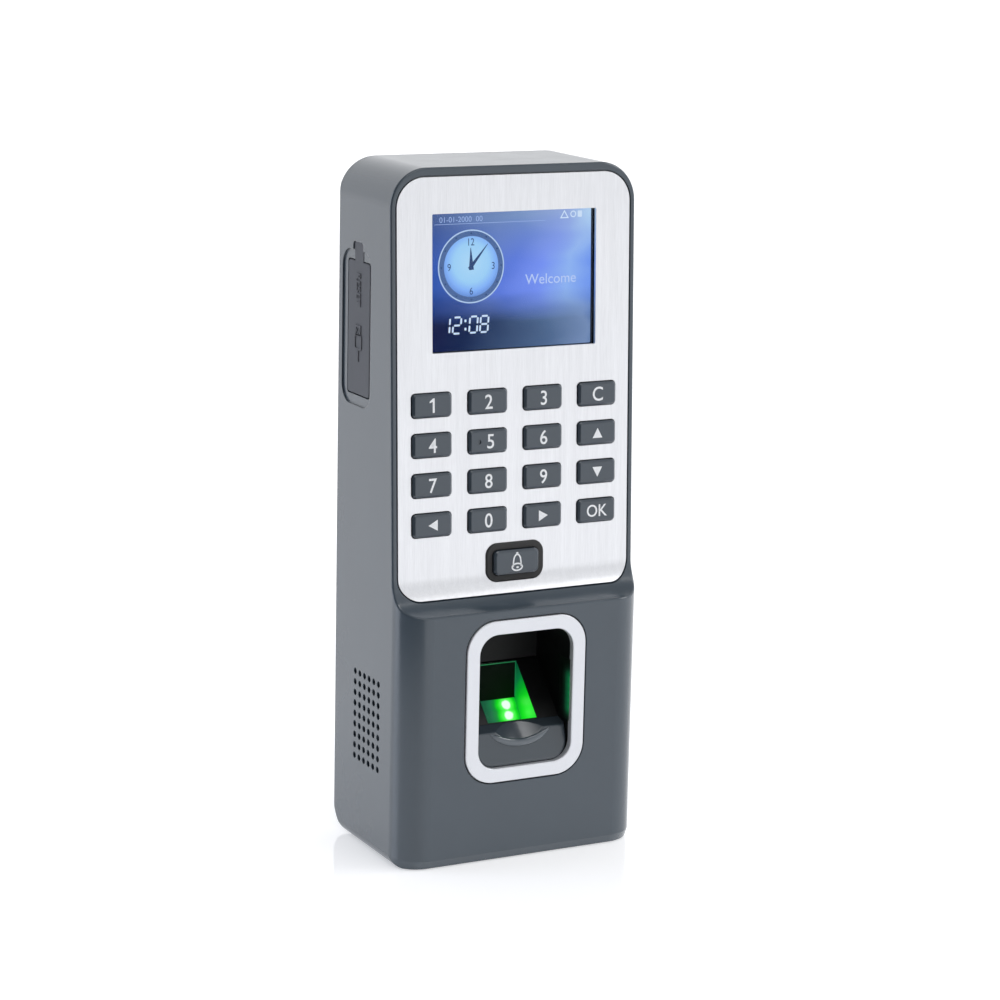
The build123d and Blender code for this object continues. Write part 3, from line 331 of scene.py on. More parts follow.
@dataclass(frozen=True)
class SolderMask(Finish):
    """Glass-epoxy board under solder mask: glossy, with copper tracks showing as raised paler lines."""

    colour: str
    track: str
    track_mm: float = 2.6

    def surface(self, tree: bpy.types.NodeTree) -> Socket:
        """Builds the coated board."""
        cells = add(tree, "ShaderNodeTexVoronoi", {"feature": "DISTANCE_TO_EDGE"}, {
            "Vector": self.place(tree), "Scale": per_mm(self.track_mm), "Randomness": 0.35,
        }).outputs["Distance"]
        line = self.span(tree, cells, 1.0, 0.0, (0.05, 0.09))
        weave = self.noise(tree, 0.5, 1.0)
        mask = self.shaded(tree, self.colour, weave, 0.1)
        mix = add(tree, "ShaderNodeMix", {"data_type": "RGBA"}, {0: line, 6: mask, 7: linear(self.track)})
        return add(tree, "ShaderNodeBsdfPrincipled", inputs={
            "Base Color": mix.outputs[2],
            "Roughness": self.span(tree, weave, 0.2, 0.34),
            "IOR": 1.52,
            "Normal": self.bump(tree, line, 0.03, 0.5),
        }).outputs["BSDF"]


@dataclass(frozen=True)
class PrintedInk(Finish):
    """Pad-printed ink: flat and slightly uneven in cover."""

    colour: str
    roughness: float = 0.5

    def surface(self, tree: bpy.types.NodeTree) -> Socket:
        """Builds the ink."""
        cover = self.noise(tree, 0.5, 2.0)
        return add(tree, "ShaderNodeBsdfPrincipled", inputs={
            "Base Color": self.shaded(tree, self.colour, cover, 0.05),
            "Roughness": self.span(tree, cover, self.roughness - 0.05, self.roughness + 0.08),
            "IOR": 1.5,
        }).outputs["BSDF"]


@dataclass(frozen=True)
class WhiteAcrylic(Finish):
    """A polished white acrylic light table: lit from below, with a faint soft mirror image on top."""

    colour: str
    roughness: float = 0.06
    glow: float = 0.4

    def surface(self, tree: bpy.types.NodeTree) -> Socket:
        """Builds the white sheet."""
        wiped = self.noise(tree, 90.0, 3.0)
        return add(tree, "ShaderNodeBsdfPrincipled", inputs={
            "Base Color": self.shaded(tree, self.colour, wiped, 0.004),
            "Roughness": self.span(tree, wiped, self.roughness - 0.01, self.roughness + 0.02),
            "IOR": 1.49,
            "Emission Color": linear(self.colour),
            "Emission Strength": self.glow,
        }).outputs["BSDF"]


@dataclass(frozen=True)
class ClearWindow(Finish):
    """Polished acrylic or glass: what is behind it shows straight through, under a clean mirror skin."""

    tint: str
    ior: float = 1.49
    mirror: float = 1.0
    smear: float = 0.03

    def surface(self, tree: bpy.types.NodeTree) -> Socket:
        """Builds the clear sheet from what passes and what mirrors."""
        clear = add(tree, "ShaderNodeBsdfTransparent", inputs={"Color": linear(self.tint)})
        wiped = self.noise(tree, 12.0, 4.0)
        gloss = add(tree, "ShaderNodeBsdfGlossy", inputs={
            "Color": linear("ffffff"), "Roughness": self.span(tree, wiped, 0.01, 0.02 + self.smear),
        })
        edge = add(tree, "ShaderNodeFresnel", inputs={"IOR": self.ior})
        share = add(tree, "ShaderNodeMath", {"operation": "MULTIPLY"}, {0: edge.outputs["Fac"], 1: self.mirror})
        return add(tree, "ShaderNodeMixShader", inputs={
            "Fac": share.outputs["Value"], 1: clear.outputs["BSDF"], 2: gloss.outputs["BSDF"],
        }).outputs["Shader"]


@dataclass(frozen=True)
class DisplayPicture(Finish):
    """The lit picture of a liquid-crystal display: blue clouds, bright at the right, dark low left."""

    low: tuple[float, float, float]
    high: tuple[float, float, float]
    strength: float = 1.0

    def surface(self, tree: bpy.types.NodeTree) -> Socket:
        """Builds the picture from three rows of colours blended by height."""
        parts = add(tree, "ShaderNodeSeparateXYZ", inputs={"Vector": self.place(tree)}).outputs
        drift = self.noise(tree, 16.0, 2.0, (2.2, 1.0, 0.8))
        across = self.span(tree, parts["X"], 0.0, 1.0, (self.low[0], self.high[0]))
        height = self.span(tree, parts["Z"], 0.0, 1.0, (self.low[2], self.high[2]))
        across = maths(tree, "ADD", across, self.span(tree, drift, -0.09, 0.09, (0.3, 0.7)))
        height = maths(tree, "ADD", height, self.span(tree, drift, -0.05, 0.05, (0.3, 0.7)))
        base = ramp(tree, across, ((0.0, "020f44"), (0.2, "08214e"), (0.42, "33496e"), (0.7, "567095"),
                                   (0.93, "7e96bd"), (1.0, "6480b0")))
        middle = ramp(tree, across, ((0.0, "335bb4"), (0.35, "6a86d8"), (0.5, "6482e4"), (0.72, "809cfc"),
                                     (0.88, "9cc0fc"), (1.0, "7ea5fa")))
        top = ramp(tree, across, ((0.0, "4f6498"), (0.3, "728cbc"), (0.55, "86a0cc"), (0.8, "a4b8e8"),
                                  (0.95, "c4e2fc"), (1.0, "b0d4f8")))
        lower = self.span(tree, height, 0.0, 1.0, (0.18, 0.44))
        upper = self.span(tree, height, 0.0, 1.0, (0.62, 0.95))
        blend = add(tree, "ShaderNodeMix", {"data_type": "RGBA"}, {0: lower, 6: base, 7: middle})
        blend = add(tree, "ShaderNodeMix", {"data_type": "RGBA"}, {0: upper, 6: blend.outputs[2], 7: top})
        return add(tree, "ShaderNodeBsdfPrincipled", inputs={
            "Base Color": linear("0a0c12"),
            "Roughness": 0.5,
            "Specular IOR Level": 0.04,
            "Emission Color": blend.outputs[2],
            "Emission Strength": self.strength,
        }).outputs["BSDF"]


@dataclass(frozen=True)
class LitMark(Finish):
    """One flat tone on the lit display, or a diode's lens, with the liquid crystal's faint unevenness."""

    colour: str
    strength: float = 1.0

    def surface(self, tree: bpy.types.NodeTree) -> Socket:
        """Builds the lit tone."""
        dots = self.noise(tree, 0.4, 1.0)
        return add(tree, "ShaderNodeBsdfPrincipled", inputs={
            "Base Color": linear("0a0c12"),
            "Roughness": 0.5,
            "Specular IOR Level": 0.04,
            "Emission Color": self.shaded(tree, self.colour, dots, 0.04),
            "Emission Strength": self.strength,
        }).outputs["BSDF"]


@dataclass(frozen=True)
class ClockFace(Finish):
    """The dial drawn on the display: pale in the middle, bluer towards its lower rim."""

    centre: tuple[float, float, float]
    radius: float
    strength: float = 1.0

    def surface(self, tree: bpy.types.NodeTree) -> Socket:
        """Builds the dial's radial shading."""
        offset = tuple(-c for c in (self.centre[0], self.centre[1], self.centre[2] + 0.12 * self.radius))
        moved = add(tree, "ShaderNodeMapping", inputs={"Vector": self.place(tree), "Location": offset})
        distance = add(tree, "ShaderNodeVectorMath", {"operation": "LENGTH"}, {
            0: moved.outputs["Vector"],
        }).outputs["Value"]
        share = self.span(tree, distance, 0.0, 1.0, (0.0, self.radius * 1.15))
        colour = ramp(tree, share, ((0.0, "bce6ff"), (0.55, "aadcfe"), (0.78, "8fbdff"), (0.9, "7aa4ea"),
                                    (1.0, "6688c8")))
        return add(tree, "ShaderNodeBsdfPrincipled", inputs={
            "Base Color": linear("0a0c12"),
            "Roughness": 0.5,
            "Specular IOR Level": 0.04,
            "Emission Color": colour,
            "Emission Strength": self.strength,
        }).outputs["BSDF"]


@dataclass(frozen=True)
class GreenLight(Finish):
    """Painted green light on a thin sheet inside the sensor: emission that stands in for the diodes' light,
    bright near them and dark far away.
    """

    near: tuple[tuple[float, float, float], ...]
    reach: float
    stops: tuple[tuple[float, str], ...]
    strength: float = 1.0

    def surface(self, tree: bpy.types.NodeTree) -> Socket:
        """Builds the painted light that falls off from the nearest of the points."""
        place = self.place(tree)
        nearest = None
        for point in self.near:
            shift = tuple(-c for c in point)
            moved = add(tree, "ShaderNodeMapping", inputs={"Vector": place, "Location": shift})
            distance = add(tree, "ShaderNodeVectorMath", {"operation": "LENGTH"}, {
                0: moved.outputs["Vector"],
            }).outputs["Value"]
            if nearest is not None:
                distance = maths(tree, "MINIMUM", nearest, distance)
            nearest = distance
        share = self.span(tree, nearest, 0.0, 1.0, (0.0, self.reach))
        uneven = maths(tree, "ADD", share, self.span(tree, self.noise(tree, 1.6), -0.02, 0.02, (0.3, 0.7)))
        return add(tree, "ShaderNodeBsdfPrincipled", inputs={
            "Base Color": linear("0c1410"),
            "Roughness": 0.35,
            "Emission Color": ramp(tree, uneven, self.stops),
            "Emission Strength": self.strength,
        }).outputs["BSDF"]


class Stock(Enum):
    """The finishes that more than one sub-assembly uses."""

    BODY = MouldedPlastic("lacquered_grey_abs", "3f4a54", 0.24, 0.28, 0.006, 0.03, 1.54, 0.35, 0.3)
    KEYS = MouldedPlastic("keycap_abs", "3c4650", 0.3, 0.22, 0.008, 0.03, 1.54, 0.25, 0.3)
    GUIDE = MouldedPlastic("gloss_grey_abs", "3a434b", 0.2, 0.28, 0.006, 0.03, 1.54, 0.35, 0.5)
    # The bead is moulded in the guide's grey: its paler colour is painted highlight, its lower roughness and
    # lacquer are real gloss.
    BEAD = MouldedPlastic("grey_abs_painted_highlight", "4a545d", 0.12, 0.28, 0.004, 0.03, 1.54, 0.35, 1.0)
    LINER = MouldedPlastic("matt_black_abs", "060708", 0.5, 0.25, 0.010, 0.10, 1.4)
    BLACK = MouldedPlastic("black_abs", "0c0d0f", 0.36, 0.25, 0.010, 0.10)
    MOULDED_EPOXY = MouldedPlastic("moulded_epoxy", "17181b", 0.5, 0.15, 0.010, 0.12)
    NYLON = MouldedPlastic("white_nylon", "dcd9cc", 0.45, 0.3, 0.010, 0.05, 1.53)
    RELAY = MouldedPlastic("relay_case", "1c4da0", 0.32, 0.3, 0.008, 0.05)
    LIGHT_GUIDE = MouldedPlastic("light_guide", "e8eaee", 0.3, 0.5, 0.006, 0.04, 1.49)
    FILM = MouldedPlastic("polyimide_film", "b06a22", 0.3, 0.6, 0.004, 0.1, 1.7)
    PLATE = BrushedAluminium("brushed_aluminium", "dedfe2")
    RING = SilverPaint("silver_paint", "e2e4e9")
    FLAP = SoftRubber("flap_rubber", "1d1e21", 0.72, 0.4, 0.2)
    SILICONE = SoftRubber("keypad_silicone", "35373b", 0.58)
    FOAM = SoftRubber("closed_cell_foam", "111112", 0.85, 0.7)
    BOARD = SolderMask("solder_mask", "0d3f22", "1a6a3a")
    INK = PrintedInk("white_ink", "eef0f3")
    STEEL_SHEET = MetalStock("zinc_plated_sheet", "b4b7bb", 0.36, 1.6, (1, 1, 6), 0.08)
    SCREW = MetalStock("zinc_plated_screw", "a2a5aa", 0.3, 0.2)
    NICKEL = MetalStock("nickel_shell", "c9cacc", 0.24, 0.3, (8, 1, 1))
    SOLDER = MetalStock("solder", "c4c6c8", 0.22, 0.4)
    CAN = MetalStock("capacitor_sleeve", "5a5e68", 0.4, 0.5)
    CELL = MetalStock("coin_cell_steel", "bfc0c2", 0.26, 0.4)
    GLASS = ClearWindow("coated_acrylic", "f4f7fb", 1.49, 0.1)
    PLATEN = ClearWindow("optical_glass", "e6f6ec", 1.52, 0.22)
    LED = LitMark("diode_lens", "f4fff6", 3.0)
    # A black sheet of painted shade: it stands in for the platen's dark look behind the clear prism.
    SCREEN = MouldedPlastic("painted_shade_black", "050706", 0.6, 0.2, 0.004, 0.1, 1.3)


def material_of(finish: Finish | Stock) -> bpy.types.Material:
    """The material of a finish, or of a named stock finish."""
    return (finish.value if isinstance(finish, Stock) else finish).material()


def dress(finish: Finish | Stock, *nodes: str) -> None:
    """Gives CAD nodes a finish through their objects' own material slots."""
    material = material_of(finish)
    for name in nodes:
        piece = frame["nodes"][name]
        for slot in piece.material_slots:
            slot.link = "OBJECT"
            slot.material = material


# ---- Mesh builders ---------------------------------------------------------------------------
def mesh_piece(name: str, mesh: bpy.types.Mesh, finish: Finish | Stock, body: str) -> bpy.types.Object:
    """Makes a piece from a mesh in the row frame, dresses it and puts it on a body.

    Args:
        name: The piece's name.
        mesh: Its mesh, in metres, in the row frame.
        finish: Its finish.
        body: The CAD body that it rides on.

    Returns:
        The new object.
    """
    mesh.materials.clear()
    mesh.materials.append(material_of(finish))
    piece = bpy.data.objects.new(name, mesh)
    bpy.context.scene.collection.objects.link(piece)
    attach(piece, body)
    LOG.info("%s: %d faces on %s", name, len(mesh.polygons), body)
    return piece


def plates(name: str, outlines: Iterable[Sequence[Point2]], low: float, high: float,
           placing: Matrix) -> bpy.types.Mesh:
    """Makes closed flat plates from 2-D outlines.

    Args:
        name: The mesh's name.
        outlines: Counter-clockwise outlines in millimetres, in a local plane.
        low: The height of the plates' backs over that plane, in millimetres.
        high: The height of their fronts.
        placing: The local plane's matrix, in metres.

    Returns:
        The mesh, in the row frame.
    """
    made = bmesh.new()
    for outline in outlines:
        back = [made.verts.new((x * MM, y * MM, low * MM)) for x, y in outline]
        front = [made.verts.new((x * MM, y * MM, high * MM)) for x, y in outline]
        made.faces.new(reversed(back))
        made.faces.new(front)
        for i, corner in enumerate(back):
            after = (i + 1) % len(back)
            made.faces.new((corner, back[after], front[after], front[i]))
    bmesh.ops.recalc_face_normals(made, faces=made.faces)
    bmesh.ops.transform(made, matrix=placing, verts=made.verts)
    mesh = bpy.data.meshes.new(name)
    made.to_mesh(mesh)
    made.free()
    return mesh


def loft(name: str, rings: Sequence[Sequence[Vector]], smooth: bool = False) -> bpy.types.Mesh:
    """Makes a closed mesh through rings of points.

    Args:
        name: The mesh's name.
        rings: Rings with equal numbers of points, in metres, in the row frame.
        smooth: Whether its sides are shaded smooth.

    Returns:
        The mesh, in the row frame.
    """
    made = bmesh.new()
    rows = [[made.verts.new(point) for point in ring] for ring in rings]
    count = len(rows[0])
    for before, after in zip(rows, rows[1:]):
        for k in range(count):
            made.faces.new((before[k], before[(k + 1) % count], after[(k + 1) % count], after[k]))
    for side in made.faces:
        side.smooth = smooth
    made.faces.new(reversed(rows[0]))
    made.faces.new(rows[-1])
    bmesh.ops.recalc_face_normals(made, faces=made.faces)
    mesh = bpy.data.meshes.new(name)
    made.to_mesh(mesh)
    made.free()
    return mesh


def circle(centre: Point2, radius: float, count: int = 48, squash: float = 1.0) -> list[Point2]:
    """A round or oval outline."""
    turns = [2 * math.pi * i / count for i in range(count)]
    return [(centre[0] + radius * math.cos(t), centre[1] + radius * squash * math.sin(t)) for t in turns]


def rectangle(centre: Point2, width: float, height: float, corner: float = 0.0) -> list[Point2]:
    """A rectangle outline with optional rounded corners."""
    if corner <= 0:
        return [(centre[0] + sx * width / 2, centre[1] + sy * height / 2)
                for sx, sy in ((-1, -1), (1, -1), (1, 1), (-1, 1))]
    points = []
    for quarter, (sx, sy) in enumerate(((1, 1), (-1, 1), (-1, -1), (1, -1))):
        middle = (centre[0] + sx * (width / 2 - corner), centre[1] + sy * (height / 2 - corner))
        for step in range(5):
            turn = (quarter + step / 4) * math.pi / 2
            points.append((middle[0] + corner * math.cos(turn), middle[1] + corner * math.sin(turn)))
    return points


def stroke(points: Sequence[Point2], width: float, closed: bool = False) -> list[list[Point2]]:
    """A line of a constant width along points, as one quadrilateral for each run.

    Args:
        points: The line's points in millimetres.
        width: The line's width.
        closed: Whether the last point joins the first.

    Returns:
        The outlines, which meet along their mitred ends.
    """
    count = len(points)
    sides: list[tuple[Vector, Vector]] = []
    for i, point in enumerate(points):
        here = Vector(point)
        before = Vector(points[i - 1]) if i or closed else here
        after = Vector(points[(i + 1) % count]) if i + 1 < count or closed else here
        arrive = (here - before).normalized() if (here - before).length else (after - here).normalized()
        leave = (after - here).normalized() if (after - here).length else arrive
        tangent = (arrive + leave).normalized()
        across = Vector((-tangent.y, tangent.x))
        reach = width / 2 / max(0.35, across.dot(Vector((-arrive.y, arrive.x))))
        sides.append((here + across * reach, here - across * reach))
    runs = count if closed else count - 1
    return [[tuple(sides[i][1]), tuple(sides[(i + 1) % count][1]), tuple(sides[(i + 1) % count][0]),
             tuple(sides[i][0])] for i in range(runs)]


def lettering(name: str, body: str, height: float, centre: Point2, rise: tuple[float, float], placing: Matrix,
              squeeze: float = 1.0, weight: float = 0.0) -> bpy.types.Mesh:
    """Makes figures as a closed mesh of a given height, centred on a place.

    Args:
        name: The mesh's name.
        body: The figures to draw.
        height: The height of the figures in millimetres.
        centre: Where their middle goes, in millimetres.
        rise: The heights of their back and front over the plane.
        placing: The local plane's matrix, in metres.
        squeeze: How wide they are beside the font's own width.
        weight: How much thicker the strokes are than the font's own, as a share of its size.

    Returns:
        The mesh, in the row frame.
    """
    curve = bpy.data.curves.new(name, "FONT")
    curve.body = body
    curve.resolution_u = 6
    curve.extrude = 0.5
    curve.offset = weight
    text = bpy.data.objects.new(name, curve)
    bpy.context.scene.collection.objects.link(text)
    bpy.context.view_layer.update()
    graph = bpy.context.evaluated_depsgraph_get()
    mesh = bpy.data.meshes.new_from_object(text.evaluated_get(graph))
    bpy.data.objects.remove(text)
    xs = [v.co.x for v in mesh.vertices]
    ys = [v.co.y for v in mesh.vertices]
    scale = height * MM / (max(ys) - min(ys))
    middle = Vector(((max(xs) + min(xs)) / 2, (max(ys) + min(ys)) / 2, 0))
    thickness = (rise[1] - rise[0]) * MM
    sizes = Matrix.Diagonal((scale * squeeze, scale, thickness, 1))
    moved = Matrix.Translation((centre[0] * MM, centre[1] * MM, (rise[0] + rise[1]) / 2 * MM))
    mesh.transform(placing @ moved @ sizes @ Matrix.Translation(-middle))
    merged = bmesh.new()
    merged.from_mesh(mesh)
    bmesh.ops.remove_doubles(merged, verts=merged.verts, dist=1e-7)
    merged.to_mesh(mesh)
    merged.free()
    return mesh


def join(name: str, meshes: Sequence[bpy.types.Mesh]) -> bpy.types.Mesh:
    """Joins meshes into one."""
    made = bmesh.new()
    for mesh in meshes:
        made.from_mesh(mesh)
    joined = bpy.data.meshes.new(name)
    made.to_mesh(joined)
    made.free()
    return joined


@dataclass(frozen=True)
class Face:
    """A flat face of a CAD node, as a local plane: x to the right, y up and z out of it."""

    matrix: Matrix

    @classmethod
    def of(cls, node: str, normal: Vector) -> "Face":
        """Finds a node's outermost flat face along a direction.

        Args:
            node: The CAD node's name.
            normal: The direction that the face looks in.

        Returns:
            The face's plane, with its origin in the middle.
        """
        up = Vector((0, 0, 1)) - normal * normal.z
        up.normalize()
        right = up.cross(normal)
        axes = Matrix((right, up, normal)).to_4x4()
        local = [axes @ v.co for v in frame["nodes"][node].data.vertices]
        front = max(p.z for p in local)
        face = [p for p in local if p.z > front - 0.02 * MM]
        xs = [p.x for p in face]
        ys = [p.y for p in face]
        middle = Vector(((max(xs) + min(xs)) / 2, (max(ys) + min(ys)) / 2, front))
        return cls(axes.transposed() @ Matrix.Translation(middle))


def box_mm(node: str) -> tuple[Vector, Vector]:
    """A CAD node's corners at rest, in millimetres."""
    low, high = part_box(node)
    return low / MM, high / MM


# ---- Geometry-node repeats -------------------------------------------------------------------
class Unit(Enum):
    """What a repeat is made of."""

    BEAD = "bead"
    THREAD = "thread"
    CHIP = "chip"


@dataclass
class Repeat:
    """A grid of small equal parts, made by geometry nodes and turned into a plain mesh.

    The grid lies in the local X-Y plane of its placing matrix.
    """

    name: str
    unit: Unit
    columns: int
    rows: int
    pitch: tuple[float, float]
    size: tuple[float, float, float]
    keep: float = 1.0
    seed: int = 7

    def build(self, finish: Finish | Stock, placing: Matrix) -> bpy.types.Mesh:
        """Runs the node tree and returns its result as a plain mesh.

        Args:
            finish: The material that the tree sets.
            placing: Where the grid goes, in metres.

        Returns:
            The mesh, in the row frame.
        """
        tree = bpy.data.node_groups.new(self.name, "GeometryNodeTree")
        sockets = {}
        values = {
            "Columns": ("NodeSocketInt", self.columns),
            "Rows": ("NodeSocketInt", self.rows),
            "Pitch X": ("NodeSocketFloat", self.pitch[0] * MM),
            "Pitch Y": ("NodeSocketFloat", self.pitch[1] * MM),
            "Size": ("NodeSocketVector", tuple(s * MM for s in self.size)),
            "Keep": ("NodeSocketFloat", self.keep),
            "Seed": ("NodeSocketInt", self.seed),
            "Finish": ("NodeSocketMaterial", material_of(finish)),
        }
        for label, (kind, _) in values.items():
            sockets[label] = tree.interface.new_socket(label, in_out="INPUT", socket_type=kind)
        tree.interface.new_socket("Geometry", in_out="OUTPUT", socket_type="NodeSocketGeometry")
        given = add(tree, "NodeGroupInput").outputs
        width = maths(tree, "MULTIPLY", self.less_one(tree, given["Columns"]), given["Pitch X"])
        height = maths(tree, "MULTIPLY", self.less_one(tree, given["Rows"]), given["Pitch Y"])
        grid = add(tree, "GeometryNodeMeshGrid", inputs={
            "Size X": width, "Size Y": height, "Vertices X": given["Columns"], "Vertices Y": given["Rows"]})
        chance = add(tree, "FunctionNodeRandomValue", {"data_type": "BOOLEAN"}, {
            "Probability": given["Keep"], "Seed": given["Seed"]})
        spread = add(tree, "GeometryNodeInstanceOnPoints", inputs={
            "Points": grid.outputs["Mesh"], "Selection": chance.outputs[3],
            "Instance": self.element(tree), "Scale": given["Size"]})
        real = add(tree, "GeometryNodeRealizeInstances", inputs={"Geometry": spread.outputs["Instances"]})
        painted = add(tree, "GeometryNodeSetMaterial", inputs={
            "Geometry": real.outputs["Geometry"], "Material": given["Finish"]})
        add(tree, "NodeGroupOutput", inputs={0: painted.outputs["Geometry"]})
        carrier = bpy.data.objects.new(self.name, bpy.data.meshes.new(self.name))
        bpy.context.scene.collection.objects.link(carrier)
        modifier = carrier.modifiers.new(self.name, "NODES")
        modifier.node_group = tree
        for label, (_, value) in values.items():
            modifier[sockets[label].identifier] = value
        bpy.context.view_layer.update()
        graph = bpy.context.evaluated_depsgraph_get()
        mesh = bpy.data.meshes.new_from_object(carrier.evaluated_get(graph))
        bpy.data.objects.remove(carrier)
        mesh.transform(placing)
        return mesh

    def less_one(self, tree: bpy.types.NodeTree, count: Socket) -> Socket:
        """A count less one, for the length of a row."""
        return maths(tree, "SUBTRACT", count, 1.0)

    def element(self, tree: bpy.types.NodeTree) -> Socket:
        """The repeated part, about one unit in size before it is scaled."""
        if self.unit is Unit.BEAD:
            return add(tree, "GeometryNodeMeshUVSphere", inputs={
                "Segments": 10, "Rings": 6, "Radius": 0.5}).outputs["Mesh"]
        if self.unit is Unit.THREAD:
            return add(tree, "GeometryNodeMeshCylinder", inputs={
                "Vertices": 6, "Radius": 0.5, "Depth": 1.0}).outputs["Mesh"]
        body = add(tree, "GeometryNodeMeshCube", inputs={"Size": (1.0, 1.0, 1.0)}).outputs["Mesh"]
        caps = add(tree, "GeometryNodeMeshCube", inputs={"Size": (1.25, 0.8, 0.9)}).outputs["Mesh"]
        both = add(tree, "GeometryNodeJoinGeometry", inputs={"Geometry": body})
        tree.links.new(caps, both.inputs["Geometry"])
        return both.outputs["Geometry"]


# ---- Sub-assemblies --------------------------------------------------------------------------
@dataclass
class Shells:
    """The moulded front housing and rear cover."""

    def build(self) -> None:
        """Dresses both shells."""
        dress(Stock.BODY, "front_housing", "rear_cover")


@dataclass
class Keypad:
    """The brushed faceplate with its sixteen keys and the bell key."""

    figure_height: float = 3.9
    figure_weight: float = 0.008
    arrow_width: float = 3.0
    arrow_height: float = 2.75
    ink_rise: float = 0.025
    bell_width: float = 3.9
    bell_height: float = 5.3
    line: float = 0.42

    def build(self) -> None:
        """Dresses the keypad and prints the legends."""
        dress(Stock.PLATE, "faceplate")
        dress(Stock.KEYS, "bell_key", *self.keys())
        dress(Stock.BLACK, "bell_bezel")
        dress(Stock.SILICONE, "keypad_mat")
        dress(Stock.BOARD, "keypad_board")
        dress(Stock.SCREW, "keypad_screws")
        normal = self.normal()
        for node in self.keys():
            face = Face.of(node, normal)
            mesh_piece(f"legend_{node}", self.legend(node, face), Stock.INK, node)
        bell = Face.of("bell_key", normal)
        mesh_piece("legend_bell", self.bell(bell), Stock.INK, "bell_key")

    @staticmethod
    def keys() -> list[str]:
        """The names of the keys in the four by four block."""
        return [name for name in frame["nodes"] if name.startswith("key_")]

    @staticmethod
    def normal() -> Vector:
        """The direction out of the keypad, opposite to the way its keys are pressed."""
        joint = next(j for j in frame["joints"] if j["child"] == "key_5")
        return -Vector(joint["axis"]).normalized()

    def legend(self, node: str, face: Face) -> bpy.types.Mesh:
        """Makes one key's printed legend."""
        sign = node.removeprefix("key_")
        rise = (-self.ink_rise, self.ink_rise)
        arrows = {"left": 180, "right": 0, "up": 90, "down": 270}
        if sign in arrows:
            return plates(node, [self.arrow(math.radians(arrows[sign]))], *rise, face.matrix)
        if sign == "1":
            return plates(node, [self.one()], *rise, face.matrix)
        text = {"clear": "C", "ok": "OK"}.get(sign, sign)
        shift = 0.55 if sign == "5" else 0.0
        height = self.figure_height * (0.86 if sign == "ok" else 1.0)
        return lettering(node, text, height, (shift, 0), rise, face.matrix, 0.92, self.figure_weight)

    def one(self) -> list[Point2]:
        """The figure one: a stem with a short flag."""
        top = self.figure_height / 2
        stem = 0.25 * self.figure_height / 2
        return [(-stem / 2 + 0.2, -top), (stem / 2 + 0.3, -top), (stem / 2 + 0.3, top), (-stem / 2 + 0.3, top),
                (-0.95, 0.58 * top), (-0.95, 0.36 * top), (-stem / 2 + 0.2, 0.52 * top)]

    def arrow(self, turn: float) -> list[Point2]:
        """A filled arrowhead that points along a direction."""
        ahead = self.arrow_height / 2
        half = self.arrow_width / 2
        corners = ((ahead, 0.0), (-ahead, half), (-ahead, -half))
        return [(x * math.cos(turn) - y * math.sin(turn), x * math.sin(turn) + y * math.cos(turn))
                for x, y in corners]

    def bell(self, face: Face) -> bpy.types.Mesh:
        """Makes the bell drawn on the bell key: a dome, its open mouth and a clapper."""
        half = self.bell_width / 2
        top = self.bell_height / 2
        mouth = -top + 0.24 * self.bell_height
        dome = [(-0.62 * half, mouth + 0.1), (-0.58 * half, 0.05 * top), (-0.48 * half, 0.45 * top),
                (-0.25 * half, 0.72 * top), (0, 0.8 * top)]
        outline = dome + [(-x, y) for x, y in reversed(dome[:-1])]
        parts = stroke(outline, self.line)
        parts += stroke(circle((0, mouth), 0.78 * half, 28, 0.62), self.line, True)
        parts.append(circle((0, 0.9 * top), 0.36, 12))
        parts.append(circle((0.1, mouth - 0.1), 0.42, 14, 0.7))
        return plates("bell", parts, -self.ink_rise, self.ink_rise, face.matrix)


